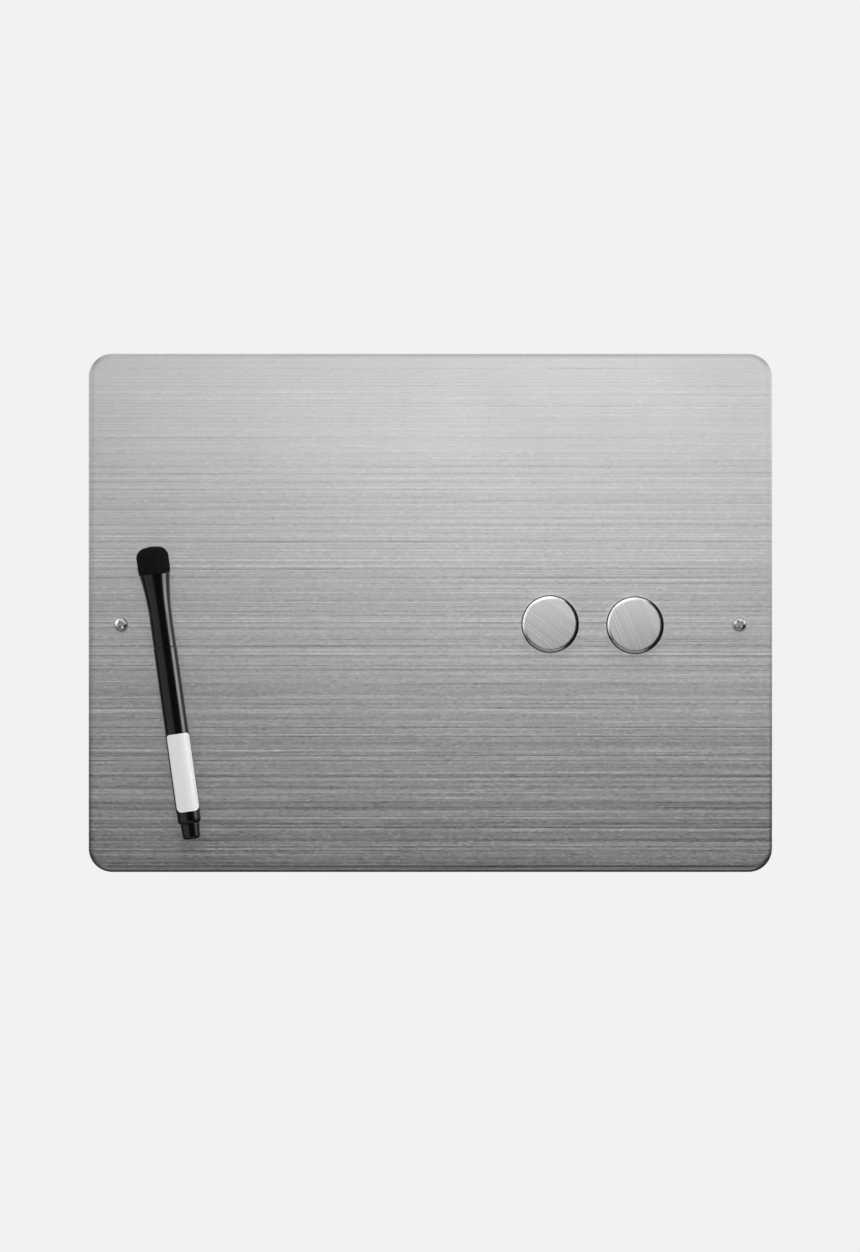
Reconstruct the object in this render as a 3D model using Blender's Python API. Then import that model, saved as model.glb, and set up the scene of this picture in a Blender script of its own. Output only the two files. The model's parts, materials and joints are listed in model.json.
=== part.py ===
"""Brushed steel magnetic whiteboard with its wall fixings, two round magnets and a capped marker.

A Blender 4.5 script, in metres, +Z up. The board's front faces -Y, the wall is the plane y = 0, and
the origin is the middle of the board on the wall. Every piece is a solid of its own.
"""
import math

import bmesh
import bpy
from mathutils import Vector

MM = 0.001

# Clearances shared by all pieces
SEAT_GAP = 0.3 * MM
CUT_OVERRUN = 1.0 * MM

# Board: a pressed tray of stainless sheet with a rolled edge
BOARD_WIDTH = 302 * MM
BOARD_HEIGHT = 229 * MM
BOARD_DEPTH = 10 * MM
BOARD_CORNER_RADIUS = 10.5 * MM
SHEET_THICKNESS = 0.8 * MM
EDGE_BEND_RADIUS = 2.6 * MM
RIM_TO_WALL = 0.7 * MM

# Stiffener: hardboard glued to the back of the sheet
PANEL_THICKNESS = 3.0 * MM

# Foam pads between the stiffener and the wall
PAD_SIZE = 25 * MM
PAD_CORNER_RADIUS = 3 * MM
PAD_FROM_EDGE = 8 * MM

# Wall fixings: a screw, a spacer and a wall anchor at each side
SCREW_FROM_EDGE = 14.5 * MM
SCREW_DROP = 5 * MM
SCREW_HOLE_CLEARANCE = 0.6 * MM
SCREW_LENGTH = 30 * MM
SCREW_SHANK_RADIUS = 1.5 * MM
SCREW_TIP_LENGTH = 3.5 * MM
SCREW_TIP_RADIUS = 0.3 * MM
HEAD_RADIUS = 3.0 * MM
HEAD_HEIGHT = 2.2 * MM
HEAD_SIDE_HEIGHT = 0.5 * MM
HEAD_FLAT_RADIUS = 1.2 * MM
RECESS_SPAN = 3.8 * MM
RECESS_ARM_WIDTH = 0.9 * MM
RECESS_DEPTH = 1.3 * MM
RECESS_FLOOR_SHARE = 0.55
LEFT_RECESS_TURN = math.radians(24)
RIGHT_RECESS_TURN = math.radians(31)
SPACER_WALL = 3.9 * MM
SPACER_CHAMFER = 0.6 * MM
ANCHOR_LENGTH = 25 * MM
ANCHOR_WALL = 1.1 * MM
ANCHOR_COLLAR_OVERHANG = 0.8 * MM
ANCHOR_COLLAR_THICKNESS = 1.0 * MM
ANCHOR_NECK_LENGTH = 4.0 * MM
ANCHOR_BARB_DEPTH = 0.5 * MM
ANCHOR_BARBS = 5
ANCHOR_SLIT_WIDTH = 0.8 * MM
ANCHOR_SOLID_LENGTH = 6.0 * MM

# Magnets: a steel cup over a ferrite disc, with a thin liner against the board
MAGNET_RADIUS = 12.7 * MM
MAGNET_RIM_TO_BOARD = 0.5 * MM
MAGNET_CUP_WALL = 1.0 * MM
MAGNET_EDGE_RADIUS = 1.2 * MM
MAGNET_LINER_THICKNESS = 0.8 * MM
MAGNET_CORE_THICKNESS = 3.5 * MM
MAGNET_CORE_SIDE_GAP = 1.1 * MM
MAGNET_CORE_CHAMFER = 0.4 * MM
RIGHT_MAGNET_FROM_EDGE = 60.8 * MM
RIGHT_MAGNET_DROP = 5.5 * MM
MAGNET_PITCH = 37.4 * MM
LEFT_MAGNET_DROP = 5.0 * MM

# Marker, measured along its axis from the tail
MARKER_FROM_EDGE = 37.1 * MM
MARKER_DROP = 35.3 * MM
MARKER_TILT = math.radians(-8.0)
PLUG_LENGTH = 6.7 * MM
PLUG_STEP = 0.85 * MM
PLUG_TAPER = 0.3 * MM
PLUG_EDGE_RADIUS = 1.5 * MM
PLUG_SPIGOT_LENGTH = 6.0 * MM
BARREL_LENGTH = 78.2 * MM
BARREL_RADIUS = 5.05 * MM
BARREL_WALL = 1.2 * MM
BARREL_SHOULDER_LENGTH = 2.2 * MM
NIB_SPIGOT_LENGTH = 8.0 * MM
NIB_COLLAR_LENGTH = 10.0 * MM
NIB_COLLAR_SEAT = 0.2 * MM
NIB_CONE_LENGTH = 6.0 * MM
NIB_NOSE_LENGTH = 5.5 * MM
NIB_NOSE_WALL = 0.5 * MM
NIB_RADIUS = 1.5 * MM
NIB_REACH = 4.0 * MM
NIB_POINT_RADIUS = 0.5 * MM
NIB_POINT_LENGTH = 1.8 * MM
CAP_WALL = 0.7 * MM
CAP_FLANGE_RADIUS = 6.65 * MM
CAP_FLANGE_ROUND = 0.35 * MM
CAP_FLARE_LENGTH = 20 * MM
CAP_FLARE_POWER = 2.0
CAP_FLOOR_THICKNESS = 1.2 * MM
CAP_POCKET_WALL = 1.3 * MM
CAP_MAGNET_THICKNESS = 2.5 * MM
SEAL_TOP_THICKNESS = 0.9 * MM
HOLDER_GRIP = 1.2 * MM
HOLDER_RISE = 1.0 * MM
HOLDER_STEM_RADIUS = 2.5 * MM
HOLDER_STEM_CHAMFER = 0.5 * MM
ERASER_LENGTH = 11.7 * MM
ERASER_OVERHANG = 0.45 * MM
ERASER_FOOT_OVERHANG = 0.2 * MM
ERASER_TOP_THICKNESS = 4.2 * MM
ERASER_SIDE_HEIGHT = 3.2 * MM
ERASER_SHOULDER_RADIUS = 4.5 * MM
ERASER_CROWN_RISE = 0.3 * MM
LABEL_LENGTH = 34.7 * MM
LABEL_FROM_BARREL_FOOT = 5.2 * MM
LABEL_GAP = 0.1 * MM
LABEL_THICKNESS = 0.2 * MM

# Facet counts
CORNER_STEPS = 10
PAD_CORNER_STEPS = 3
BEND_STEPS = 5
EDGE_STEPS = 4
MAGNET_SEGMENTS = 60
CORE_SEGMENTS = 40
MARKER_SEGMENTS = 48
INNER_SEGMENTS = 28
SMALL_SEGMENTS = 20
SCREW_SEGMENTS = 24
FLARE_STEPS = 9
SHOULDER_STEPS = 7

# Levels that several pieces share, as depths in front of the wall
FACE_DEPTH = BOARD_DEPTH
SHEET_BACK_DEPTH = FACE_DEPTH - SHEET_THICKNESS
PANEL_FRONT_DEPTH = SHEET_BACK_DEPTH - SEAT_GAP
PANEL_BACK_DEPTH = PANEL_FRONT_DEPTH - PANEL_THICKNESS
PAD_FRONT_DEPTH = PANEL_BACK_DEPTH - SEAT_GAP

# Sizes round the screws
SCREW_X = BOARD_WIDTH / 2 - SCREW_FROM_EDGE
SCREW_HOLE_RADIUS = SCREW_SHANK_RADIUS + SCREW_HOLE_CLEARANCE
SPACER_RADIUS = SCREW_HOLE_RADIUS + SPACER_WALL
ANCHOR_BORE = SCREW_SHANK_RADIUS + SEAT_GAP
ANCHOR_RADIUS = ANCHOR_BORE + ANCHOR_WALL

# Places of what lies on the face
RIGHT_MAGNET_X = BOARD_WIDTH / 2 - RIGHT_MAGNET_FROM_EDGE
LEFT_MAGNET_X = RIGHT_MAGNET_X - MAGNET_PITCH
MARKER_X = MARKER_FROM_EDGE - BOARD_WIDTH / 2

# Radii of the marker's pieces, from the barrel inwards and out to the cap's head
BARREL_BORE = BARREL_RADIUS - BARREL_WALL
INSERT_RADIUS = BARREL_BORE - SEAT_GAP
PLUG_TOP_RADIUS = BARREL_RADIUS - PLUG_STEP
PLUG_END_RADIUS = PLUG_TOP_RADIUS - PLUG_TAPER
NIB_BORE = NIB_RADIUS + SEAT_GAP
NIB_NOSE_RADIUS = NIB_BORE + NIB_NOSE_WALL
NIB_COLLAR_RADIUS = BARREL_BORE + NIB_COLLAR_SEAT
CAP_BORE = NIB_COLLAR_RADIUS + SEAT_GAP
CAP_LIP_RADIUS = CAP_BORE + CAP_WALL
CAP_POCKET_RADIUS = CAP_FLANGE_RADIUS - CAP_POCKET_WALL
CAP_MAGNET_RADIUS = CAP_POCKET_RADIUS - SEAT_GAP
ERASER_RADIUS = CAP_FLANGE_RADIUS + ERASER_OVERHANG
ERASER_FOOT_RADIUS = CAP_FLANGE_RADIUS + ERASER_FOOT_OVERHANG

# Stations along the marker, from the tail
BARREL_FOOT = PLUG_LENGTH + SEAT_GAP
BARREL_TOP = BARREL_FOOT + BARREL_LENGTH
CAP_LIP = BARREL_TOP + SEAT_GAP
NIB_HOLDER_FOOT = BARREL_TOP - NIB_SPIGOT_LENGTH
NIB_COLLAR_TOP = CAP_LIP + NIB_COLLAR_LENGTH
NIB_CONE_TOP = NIB_COLLAR_TOP + NIB_CONE_LENGTH
NIB_NOSE_TOP = NIB_CONE_TOP + NIB_NOSE_LENGTH
NIB_TOP = NIB_NOSE_TOP + NIB_REACH
SEAL_CEILING = NIB_TOP + SEAT_GAP
SEAL_TOP = SEAL_CEILING + SEAL_TOP_THICKNESS
CAP_BORE_TOP = SEAL_TOP + SEAT_GAP
POCKET_FLOOR = CAP_BORE_TOP + CAP_FLOOR_THICKNESS
CAP_MAGNET_FOOT = POCKET_FLOOR + SEAT_GAP
CAP_MAGNET_TOP = CAP_MAGNET_FOOT + CAP_MAGNET_THICKNESS
HOLDER_FOOT = CAP_MAGNET_TOP + SEAT_GAP
CAP_TOP = HOLDER_FOOT + HOLDER_GRIP
HOLDER_SHOULDER = CAP_TOP + HOLDER_RISE
ERASER_FOOT = CAP_TOP + SEAT_GAP
MARKER_LENGTH = ERASER_FOOT + ERASER_LENGTH
HOLDER_TOP = MARKER_LENGTH - ERASER_TOP_THICKNESS - SEAT_GAP
MARKER_AXIS_DEPTH = FACE_DEPTH + SEAT_GAP + ERASER_RADIUS


def clear_scene():
    """Remove the objects that a new file starts with."""
    for old in list(bpy.data.objects):
        bpy.data.objects.remove(old, do_unlink=True)


def material(name, colour, roughness, metallic=0.0):
    """A plain surface with one colour, roughness and metallic value."""
    made = bpy.data.materials.new(name)
    made.use_nodes = True
    shader = made.node_tree.nodes["Principled BSDF"]
    shader.inputs["Base Color"].default_value = (*colour, 1.0)
    shader.inputs["Roughness"].default_value = roughness
    shader.inputs["Metallic"].default_value = metallic
    return made


def add_empty(name, place, rotation=(0, 0, 0)):
    """An empty that pieces hang from, set on the axis that they share."""
    empty = bpy.data.objects.new(name, None)
    empty.location = place
    empty.rotation_euler = rotation
    bpy.context.collection.objects.link(empty)
    return empty


def add_piece(name, bm, surface, parent=None, smooth_angle=35):
    """Turn a bmesh into a named object with its faces pointing out."""
    bmesh.ops.recalc_face_normals(bm, faces=bm.faces[:])
    mesh = bpy.data.meshes.new(name)
    bm.to_mesh(mesh)
    bm.free()
    mesh.materials.append(surface)
    mesh.shade_smooth()
    mesh.set_sharp_from_angle(angle=math.radians(smooth_angle))
    piece = bpy.data.objects.new(name, mesh)
    piece.parent = parent
    bpy.context.collection.objects.link(piece)
    return piece


def cut(piece, cutter):
    """Take the cutter's volume out of a piece, and keep the cutter as a hidden guide."""
    cutter.hide_render = True
    cutter.display_type = "WIRE"
    boolean = piece.modifiers.new(cutter.name, "BOOLEAN")
    boolean.operation = "DIFFERENCE"
    boolean.solver = "EXACT"
    boolean.object = cutter


def arc(centre, radius, start, end, steps):
    """Points of a round stretch of an outline, between two angles in quarter turns."""
    points = []
    for step in range(steps + 1):
        angle = math.pi / 2 * (start + (end - start) * step / steps)
        points.append((centre[0] + radius * math.cos(angle), centre[1] + radius * math.sin(angle)))
    return points


def rounded_rectangle(width, height, radius, steps):
    """Outline of a rectangle with round corners, about its middle."""
    across = width / 2 - radius
    up = height / 2 - radius
    corners = ((across, up), (-across, up), (-across, -up), (across, -up))
    points = []
    for quarter, centre in enumerate(corners):
        points += arc(centre, radius, quarter, quarter + 1, steps)
    return points


def loft(sections):
    """Skin a row of like outlines, given as 3D points, and close both ends."""
    bm = bmesh.new()
    rings = [[bm.verts.new(point) for point in section] for section in sections]
    for near, far in zip(rings, rings[1:]):
        for index, vert in enumerate(near):
            after = (index + 1) % len(near)
            bm.faces.new((vert, near[after], far[after], far[index]))
    bm.faces.new(rings[0])
    bm.faces.new(reversed(rings[-1]))
    return bm


def turned(profile, segments, closed=False):
    """Spin an outline of (radius, height) points about the local Z axis.

    An open outline starts and ends on the axis. A closed one makes a ring round a bore.
    """
    bm = bmesh.new()
    verts = [bm.verts.new((radius, 0, height)) for radius, height in profile]
    edges = [bm.edges.new(pair) for pair in zip(verts, verts[1:])]
    if closed:
        edges.append(bm.edges.new((verts[-1], verts[0])))
    bmesh.ops.spin(
        bm, geom=verts + edges, cent=(0, 0, 0), axis=(0, 0, 1), angle=math.tau, steps=segments,
        use_merge=True,
    )
    on_axis = [vert for vert in bm.verts if vert.co.xy.length < profile_merge(profile)]
    bmesh.ops.remove_doubles(bm, verts=on_axis, dist=profile_merge(profile))
    return bm


def profile_merge(profile):
    """A distance far below any feature of a profile, for joining its points on the axis."""
    share = 1e-4
    return share * max(radius for radius, height in profile)


def drilled(piece, name, radius, places, near_depth, far_depth):
    """Drill round holes through a board piece, from one depth in front of the wall to another."""
    for side, (across, up) in places.items():
        profile = [
            (0, near_depth - CUT_OVERRUN), (radius, near_depth - CUT_OVERRUN),
            (radius, far_depth + CUT_OVERRUN), (0, far_depth + CUT_OVERRUN),
        ]
        cutter = add_piece(f"{name}_{side}", turned(profile, INNER_SEGMENTS), piece.data.materials[0])
        cutter.location = (across, 0, up)
        cutter.rotation_euler = (math.pi / 2, 0, 0)
        cut(piece, cutter)


def board_outline(inset, depth):
    """The board's outline drawn in by an inset, at a depth in front of the wall."""
    flat = rounded_rectangle(
        BOARD_WIDTH - 2 * inset, BOARD_HEIGHT - 2 * inset, BOARD_CORNER_RADIUS - inset, CORNER_STEPS
    )
    return [(across, -depth, up) for across, up in flat]


def face_pan(steel, screw_places):
    """The pressed tray: flat face, rolled edge, drawn corners and a plain rim behind."""
    bend_depth = FACE_DEPTH - EDGE_BEND_RADIUS
    outer_bend = arc((EDGE_BEND_RADIUS, bend_depth), EDGE_BEND_RADIUS, 1, 2, BEND_STEPS)
    inner_bend = arc(
        (EDGE_BEND_RADIUS, bend_depth), EDGE_BEND_RADIUS - SHEET_THICKNESS, 2, 1, BEND_STEPS
    )
    rim = [(0, RIM_TO_WALL), (SHEET_THICKNESS, RIM_TO_WALL)]
    sections = [board_outline(inset, depth) for inset, depth in outer_bend + rim + inner_bend]
    pan = add_piece("face_pan", loft(sections), steel)
    drilled(pan, "face_hole", SCREW_HOLE_RADIUS, screw_places, SHEET_BACK_DEPTH, FACE_DEPTH)


def stiffener_panel(hardboard, screw_places):
    """The flat panel inside the tray, drilled to pass the spacers."""
    inset = EDGE_BEND_RADIUS + SEAT_GAP
    sections = [board_outline(inset, PANEL_FRONT_DEPTH), board_outline(inset, PANEL_BACK_DEPTH)]
    panel = add_piece("stiffener_panel", loft(sections), hardboard)
    hole = SPACER_RADIUS + SEAT_GAP
    drilled(panel, "panel_hole", hole, screw_places, PANEL_BACK_DEPTH, PANEL_FRONT_DEPTH)


def foam_pads(foam):
    """Four square pads that hold the rim off the wall."""
    outline = rounded_rectangle(PAD_SIZE, PAD_SIZE, PAD_CORNER_RADIUS, PAD_CORNER_STEPS)
    across = BOARD_WIDTH / 2 - PAD_FROM_EDGE - PAD_SIZE / 2
    up = BOARD_HEIGHT / 2 - PAD_FROM_EDGE - PAD_SIZE / 2
    places = {
        "top_left": (-across, up), "top_right": (across, up),
        "bottom_left": (-across, -up), "bottom_right": (across, -up),
    }
    for corner, (x, z) in places.items():
        sections = [[(px, -depth, pz) for px, pz in outline] for depth in (PAD_FRONT_DEPTH, 0)]
        pad = add_piece(f"foam_pad_{corner}", loft(sections), foam)
        pad.location = (x, 0, z)


def spacer(side, place, nylon):
    """A chamfered tube round the screw, from the back of the sheet to just off the wall."""
    bottom = SEAT_GAP
    profile = [
        (SCREW_HOLE_RADIUS, bottom), (SPACER_RADIUS - SPACER_CHAMFER, bottom),
        (SPACER_RADIUS, bottom + SPACER_CHAMFER), (SPACER_RADIUS, PANEL_FRONT_DEPTH - SPACER_CHAMFER),
        (SPACER_RADIUS - SPACER_CHAMFER, PANEL_FRONT_DEPTH), (SCREW_HOLE_RADIUS, PANEL_FRONT_DEPTH),
    ]
    add_piece(f"spacer_{side}", turned(profile, INNER_SEGMENTS, closed=True), nylon, place)


def cross_outline(span, arm_width, turn):
    """A plus sign with equal arms, turned by an angle."""
    reach = span / 2
    half = arm_width / 2
    arm = [(reach, -half), (reach, half), (half, half)]
    points = []
    for quarter in range(4):
        angle = turn + quarter * math.pi / 2
        for along, across in arm:
            points.append((
                along * math.cos(angle) - across * math.sin(angle),
                along * math.sin(angle) + across * math.cos(angle),
            ))
    return points


def screw(side, place, turn, steel):
    """A pan-head wood screw with a tapered cross recess. Its thread is left off."""
    seat = FACE_DEPTH + SEAT_GAP
    top = seat + HEAD_HEIGHT
    dome_rise = HEAD_HEIGHT - HEAD_SIDE_HEIGHT
    dome_reach = HEAD_RADIUS - HEAD_FLAT_RADIUS
    dome = [
        (HEAD_FLAT_RADIUS + dome_reach * x, seat + HEAD_SIDE_HEIGHT + dome_rise * z)
        for x, z in arc((0, 0), 1, 1, 0, EDGE_STEPS)
    ]
    tip = seat - SCREW_LENGTH
    profile = [(0, top)] + dome + [
        (HEAD_RADIUS, seat), (SCREW_SHANK_RADIUS, seat),
        (SCREW_SHANK_RADIUS, tip + SCREW_TIP_LENGTH), (SCREW_TIP_RADIUS, tip), (0, tip),
    ]
    body = add_piece(f"screw_{side}", turned(profile, SCREW_SEGMENTS), steel, place)
    levels = ((RECESS_FLOOR_SHARE, top - RECESS_DEPTH), (1, top + CUT_OVERRUN))
    sections = []
    for share, height in levels:
        outline = cross_outline(RECESS_SPAN * share, RECESS_ARM_WIDTH * share, turn)
        sections.append([(x, y, height) for x, y in outline])
    cut(body, add_piece(f"recess_{side}", loft(sections), steel, place))


def wall_anchor(side, place, nylon):
    """A barbed nylon plug in the wall, split towards its tip so that the screw spreads it."""
    barbed_length = ANCHOR_LENGTH - ANCHOR_COLLAR_THICKNESS - ANCHOR_NECK_LENGTH
    pitch = barbed_length / ANCHOR_BARBS
    first = -ANCHOR_COLLAR_THICKNESS - ANCHOR_NECK_LENGTH
    root = ANCHOR_RADIUS - ANCHOR_BARB_DEPTH
    collar_radius = ANCHOR_RADIUS + ANCHOR_COLLAR_OVERHANG
    profile = [
        (ANCHOR_BORE, 0), (collar_radius, 0), (collar_radius, -ANCHOR_COLLAR_THICKNESS),
        (ANCHOR_RADIUS, -ANCHOR_COLLAR_THICKNESS),
    ]
    for barb in range(ANCHOR_BARBS):
        top = first - barb * pitch
        profile += [(ANCHOR_RADIUS, top), (root, top - pitch)]
    profile.append((ANCHOR_BORE, -ANCHOR_LENGTH))
    body = add_piece(f"wall_anchor_{side}", turned(profile, SCREW_SEGMENTS, closed=True), nylon, place)
    slit_top = -ANCHOR_COLLAR_THICKNESS - ANCHOR_SOLID_LENGTH
    slit_end = -ANCHOR_LENGTH - CUT_OVERRUN
    reach = ANCHOR_RADIUS + CUT_OVERRUN
    half = ANCHOR_SLIT_WIDTH / 2
    outline = ((-reach, -half), (reach, -half), (reach, half), (-reach, half))
    sections = [[(x, y, height) for x, y in outline] for height in (slit_end, slit_top)]
    cut(body, add_piece(f"anchor_slit_{side}", loft(sections), nylon, place))


def wall_fixings(screw_places, screw_steel, nylon):
    """Screw, spacer and anchor at each side, on one axis square to the wall."""
    turns = {"left": LEFT_RECESS_TURN, "right": RIGHT_RECESS_TURN}
    for side, (across, up) in screw_places.items():
        axis = add_empty(f"fixing_axis_{side}", (across, 0, up), (math.pi / 2, 0, 0))
        spacer(side, axis, nylon)
        screw(side, axis, turns[side], screw_steel)
        wall_anchor(side, axis, nylon)


def magnet(name, across, drop, surfaces):
    """A round magnet lying on the face: steel cup, ferrite disc and liner."""
    axis = add_empty(f"{name}_axis", (across, -FACE_DEPTH, -drop), (math.pi / 2, 0, 0))
    liner_top = SEAT_GAP + MAGNET_LINER_THICKNESS
    core_foot = liner_top + SEAT_GAP
    core_top = core_foot + MAGNET_CORE_THICKNESS
    ceiling = core_top + SEAT_GAP
    front = ceiling + MAGNET_CUP_WALL
    rim = MAGNET_RIM_TO_BOARD
    inner_radius = MAGNET_RADIUS - MAGNET_CUP_WALL
    edge_centre = (MAGNET_RADIUS - MAGNET_EDGE_RADIUS, front - MAGNET_EDGE_RADIUS)
    edge = arc(edge_centre, MAGNET_EDGE_RADIUS, 1, 0, EDGE_STEPS)
    cup = [(0, front)] + edge + [
        (MAGNET_RADIUS, rim), (inner_radius, rim), (inner_radius, ceiling), (0, ceiling)
    ]
    add_piece(f"{name}_cup", turned(cup, MAGNET_SEGMENTS), surfaces["brushed cup"], axis)

    core_radius = inner_radius - MAGNET_CORE_SIDE_GAP
    chamfered = core_radius - MAGNET_CORE_CHAMFER
    core = [
        (0, core_top), (chamfered, core_top), (core_radius, core_top - MAGNET_CORE_CHAMFER),
        (core_radius, core_foot + MAGNET_CORE_CHAMFER), (chamfered, core_foot), (0, core_foot),
    ]
    add_piece(f"{name}_core", turned(core, CORE_SEGMENTS), surfaces["ferrite"], axis)

    liner_radius = inner_radius - SEAT_GAP
    liner = [(0, liner_top), (liner_radius, liner_top), (liner_radius, SEAT_GAP), (0, SEAT_GAP)]
    add_piece(f"{name}_liner", turned(liner, CORE_SEGMENTS), surfaces["liner rubber"], axis)


def marker_piece(name, profile, segments, surface, axis, closed=False):
    """A turned piece on the marker's axis, with heights measured from the tail."""
    piece = add_piece(name, turned(profile, segments, closed), surface, axis)
    piece.location = (0, 0, -MARKER_LENGTH / 2)
    return piece


def marker_cap(surfaces, axis):
    """The flared cap: a deep bore for the nib below, a pocket for the magnet on top."""
    flare_foot = CAP_TOP - CAP_FLARE_LENGTH
    outer = [(CAP_LIP_RADIUS, CAP_LIP)]
    for step in range(FLARE_STEPS + 1):
        share = step / FLARE_STEPS
        radius = CAP_LIP_RADIUS + (CAP_FLANGE_RADIUS - CAP_LIP_RADIUS) * share ** CAP_FLARE_POWER
        height = flare_foot + (CAP_FLARE_LENGTH - CAP_FLANGE_ROUND) * share
        outer.append((radius, height))
    inner = [
        (CAP_FLANGE_RADIUS - CAP_FLANGE_ROUND, CAP_TOP), (CAP_POCKET_RADIUS, CAP_TOP),
        (CAP_POCKET_RADIUS, POCKET_FLOOR), (0, POCKET_FLOOR),
    ]
    bore = [(0, CAP_BORE_TOP), (CAP_BORE, CAP_BORE_TOP), (CAP_BORE, CAP_LIP)]
    marker_piece("marker_cap", bore + outer + inner, MARKER_SEGMENTS, surfaces["gloss plastic"], axis)


def cap_magnet(surfaces, axis):
    """The disc in the cap's pocket that holds the marker to the board."""
    foot, top = CAP_MAGNET_FOOT, CAP_MAGNET_TOP
    profile = [(0, foot), (CAP_MAGNET_RADIUS, foot), (CAP_MAGNET_RADIUS, top), (0, top)]
    marker_piece("cap_magnet", profile, INNER_SEGMENTS, surfaces["ferrite"], axis)


def cap_seal(surfaces, axis):
    """The soft insert in the cap that closes round the nose and keeps the nib wet."""
    foot = NIB_CONE_TOP + SEAT_GAP
    outer = CAP_BORE - SEAT_GAP
    nose_bore = NIB_NOSE_RADIUS + SEAT_GAP
    nose_top = NIB_NOSE_TOP + SEAT_GAP
    profile = [
        (0, SEAL_CEILING), (NIB_BORE, SEAL_CEILING), (NIB_BORE, nose_top), (nose_bore, nose_top),
        (nose_bore, foot), (outer, foot), (outer, SEAL_TOP), (0, SEAL_TOP),
    ]
    marker_piece("cap_seal", profile, INNER_SEGMENTS, surfaces["seal"], axis)


def eraser_holder(surfaces, axis):
    """The plug over the cap's magnet, with a stem up into the felt."""
    profile = [
        (0, HOLDER_FOOT), (CAP_MAGNET_RADIUS, HOLDER_FOOT), (CAP_MAGNET_RADIUS, HOLDER_SHOULDER),
        (HOLDER_STEM_RADIUS, HOLDER_SHOULDER), (HOLDER_STEM_RADIUS, HOLDER_TOP - HOLDER_STEM_CHAMFER),
        (HOLDER_STEM_RADIUS - HOLDER_STEM_CHAMFER, HOLDER_TOP), (0, HOLDER_TOP),
    ]
    marker_piece("eraser_holder", profile, INNER_SEGMENTS, surfaces["gloss plastic"], axis)


def felt_eraser(surfaces, axis):
    """The round felt block on the cap, domed on top and hollow below for its holder."""
    recess_radius = CAP_MAGNET_RADIUS + SEAT_GAP
    recess_top = HOLDER_SHOULDER + SEAT_GAP
    stem_radius = HOLDER_STEM_RADIUS + SEAT_GAP
    stem_top = HOLDER_TOP + SEAT_GAP
    shoulder_foot = MARKER_LENGTH - ERASER_CROWN_RISE - ERASER_SHOULDER_RADIUS
    round_centre = (ERASER_RADIUS - ERASER_SHOULDER_RADIUS, shoulder_foot)
    side = [
        (recess_radius, ERASER_FOOT), (ERASER_FOOT_RADIUS, ERASER_FOOT),
        (ERASER_RADIUS, ERASER_FOOT + ERASER_SIDE_HEIGHT),
    ]
    shoulder_round = arc(round_centre, ERASER_SHOULDER_RADIUS, 0, 1, SHOULDER_STEPS)
    hollow = [(0, stem_top), (stem_radius, stem_top), (stem_radius, recess_top), (recess_radius, recess_top)]
    profile = hollow + side + shoulder_round + [(0, MARKER_LENGTH)]
    marker_piece("felt_eraser", profile, MARKER_SEGMENTS, surfaces["felt"], axis)


def marker_barrel(surfaces, axis):
    """The ink barrel, open at both ends, drawn in at its foot to meet the tail plug."""
    shoulder = [
        (PLUG_TOP_RADIUS + PLUG_STEP * x, BARREL_FOOT + BARREL_SHOULDER_LENGTH * (1 + z))
        for x, z in arc((0, 0), 1, 3, 4, EDGE_STEPS)
    ]
    profile = [(BARREL_BORE, BARREL_FOOT)] + shoulder
    profile += [(BARREL_RADIUS, BARREL_TOP), (BARREL_BORE, BARREL_TOP)]
    marker_piece("marker_barrel", profile, MARKER_SEGMENTS, surfaces["gloss plastic"], axis, closed=True)


def nib_holder(surfaces, axis):
    """The front section: spigot in the barrel, collar in the cap, cone and nose round the nib."""
    profile = [
        (NIB_BORE, NIB_HOLDER_FOOT), (INSERT_RADIUS, NIB_HOLDER_FOOT), (INSERT_RADIUS, CAP_LIP),
        (NIB_COLLAR_RADIUS, CAP_LIP), (NIB_COLLAR_RADIUS, NIB_COLLAR_TOP),
        (NIB_NOSE_RADIUS, NIB_CONE_TOP), (NIB_NOSE_RADIUS, NIB_NOSE_TOP), (NIB_BORE, NIB_NOSE_TOP),
    ]
    marker_piece("nib_holder", profile, INNER_SEGMENTS, surfaces["gloss plastic"], axis, closed=True)


def writing_nib(surfaces, axis):
    """The fibre nib: a rod from the ink reservoir to its bullet point."""
    point_foot = NIB_TOP - NIB_POINT_LENGTH
    reach = NIB_RADIUS - NIB_POINT_RADIUS
    point = [
        (NIB_POINT_RADIUS + reach * x, point_foot + NIB_POINT_LENGTH * z)
        for x, z in arc((0, 0), 1, 0, 1, EDGE_STEPS)
    ]
    profile = [(0, NIB_HOLDER_FOOT), (NIB_RADIUS, NIB_HOLDER_FOOT)] + point + [(0, NIB_TOP)]
    marker_piece("writing_nib", profile, SMALL_SEGMENTS, surfaces["nib fibre"], axis)


def ink_reservoir(surfaces, axis):
    """The fibre rod that fills the barrel between the tail plug and the front section."""
    foot = BARREL_FOOT + PLUG_SPIGOT_LENGTH + SEAT_GAP
    top = NIB_HOLDER_FOOT - SEAT_GAP
    profile = [(0, foot), (INSERT_RADIUS, foot), (INSERT_RADIUS, top), (0, top)]
    marker_piece("ink_reservoir", profile, SMALL_SEGMENTS, surfaces["ink fibre"], axis)


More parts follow.
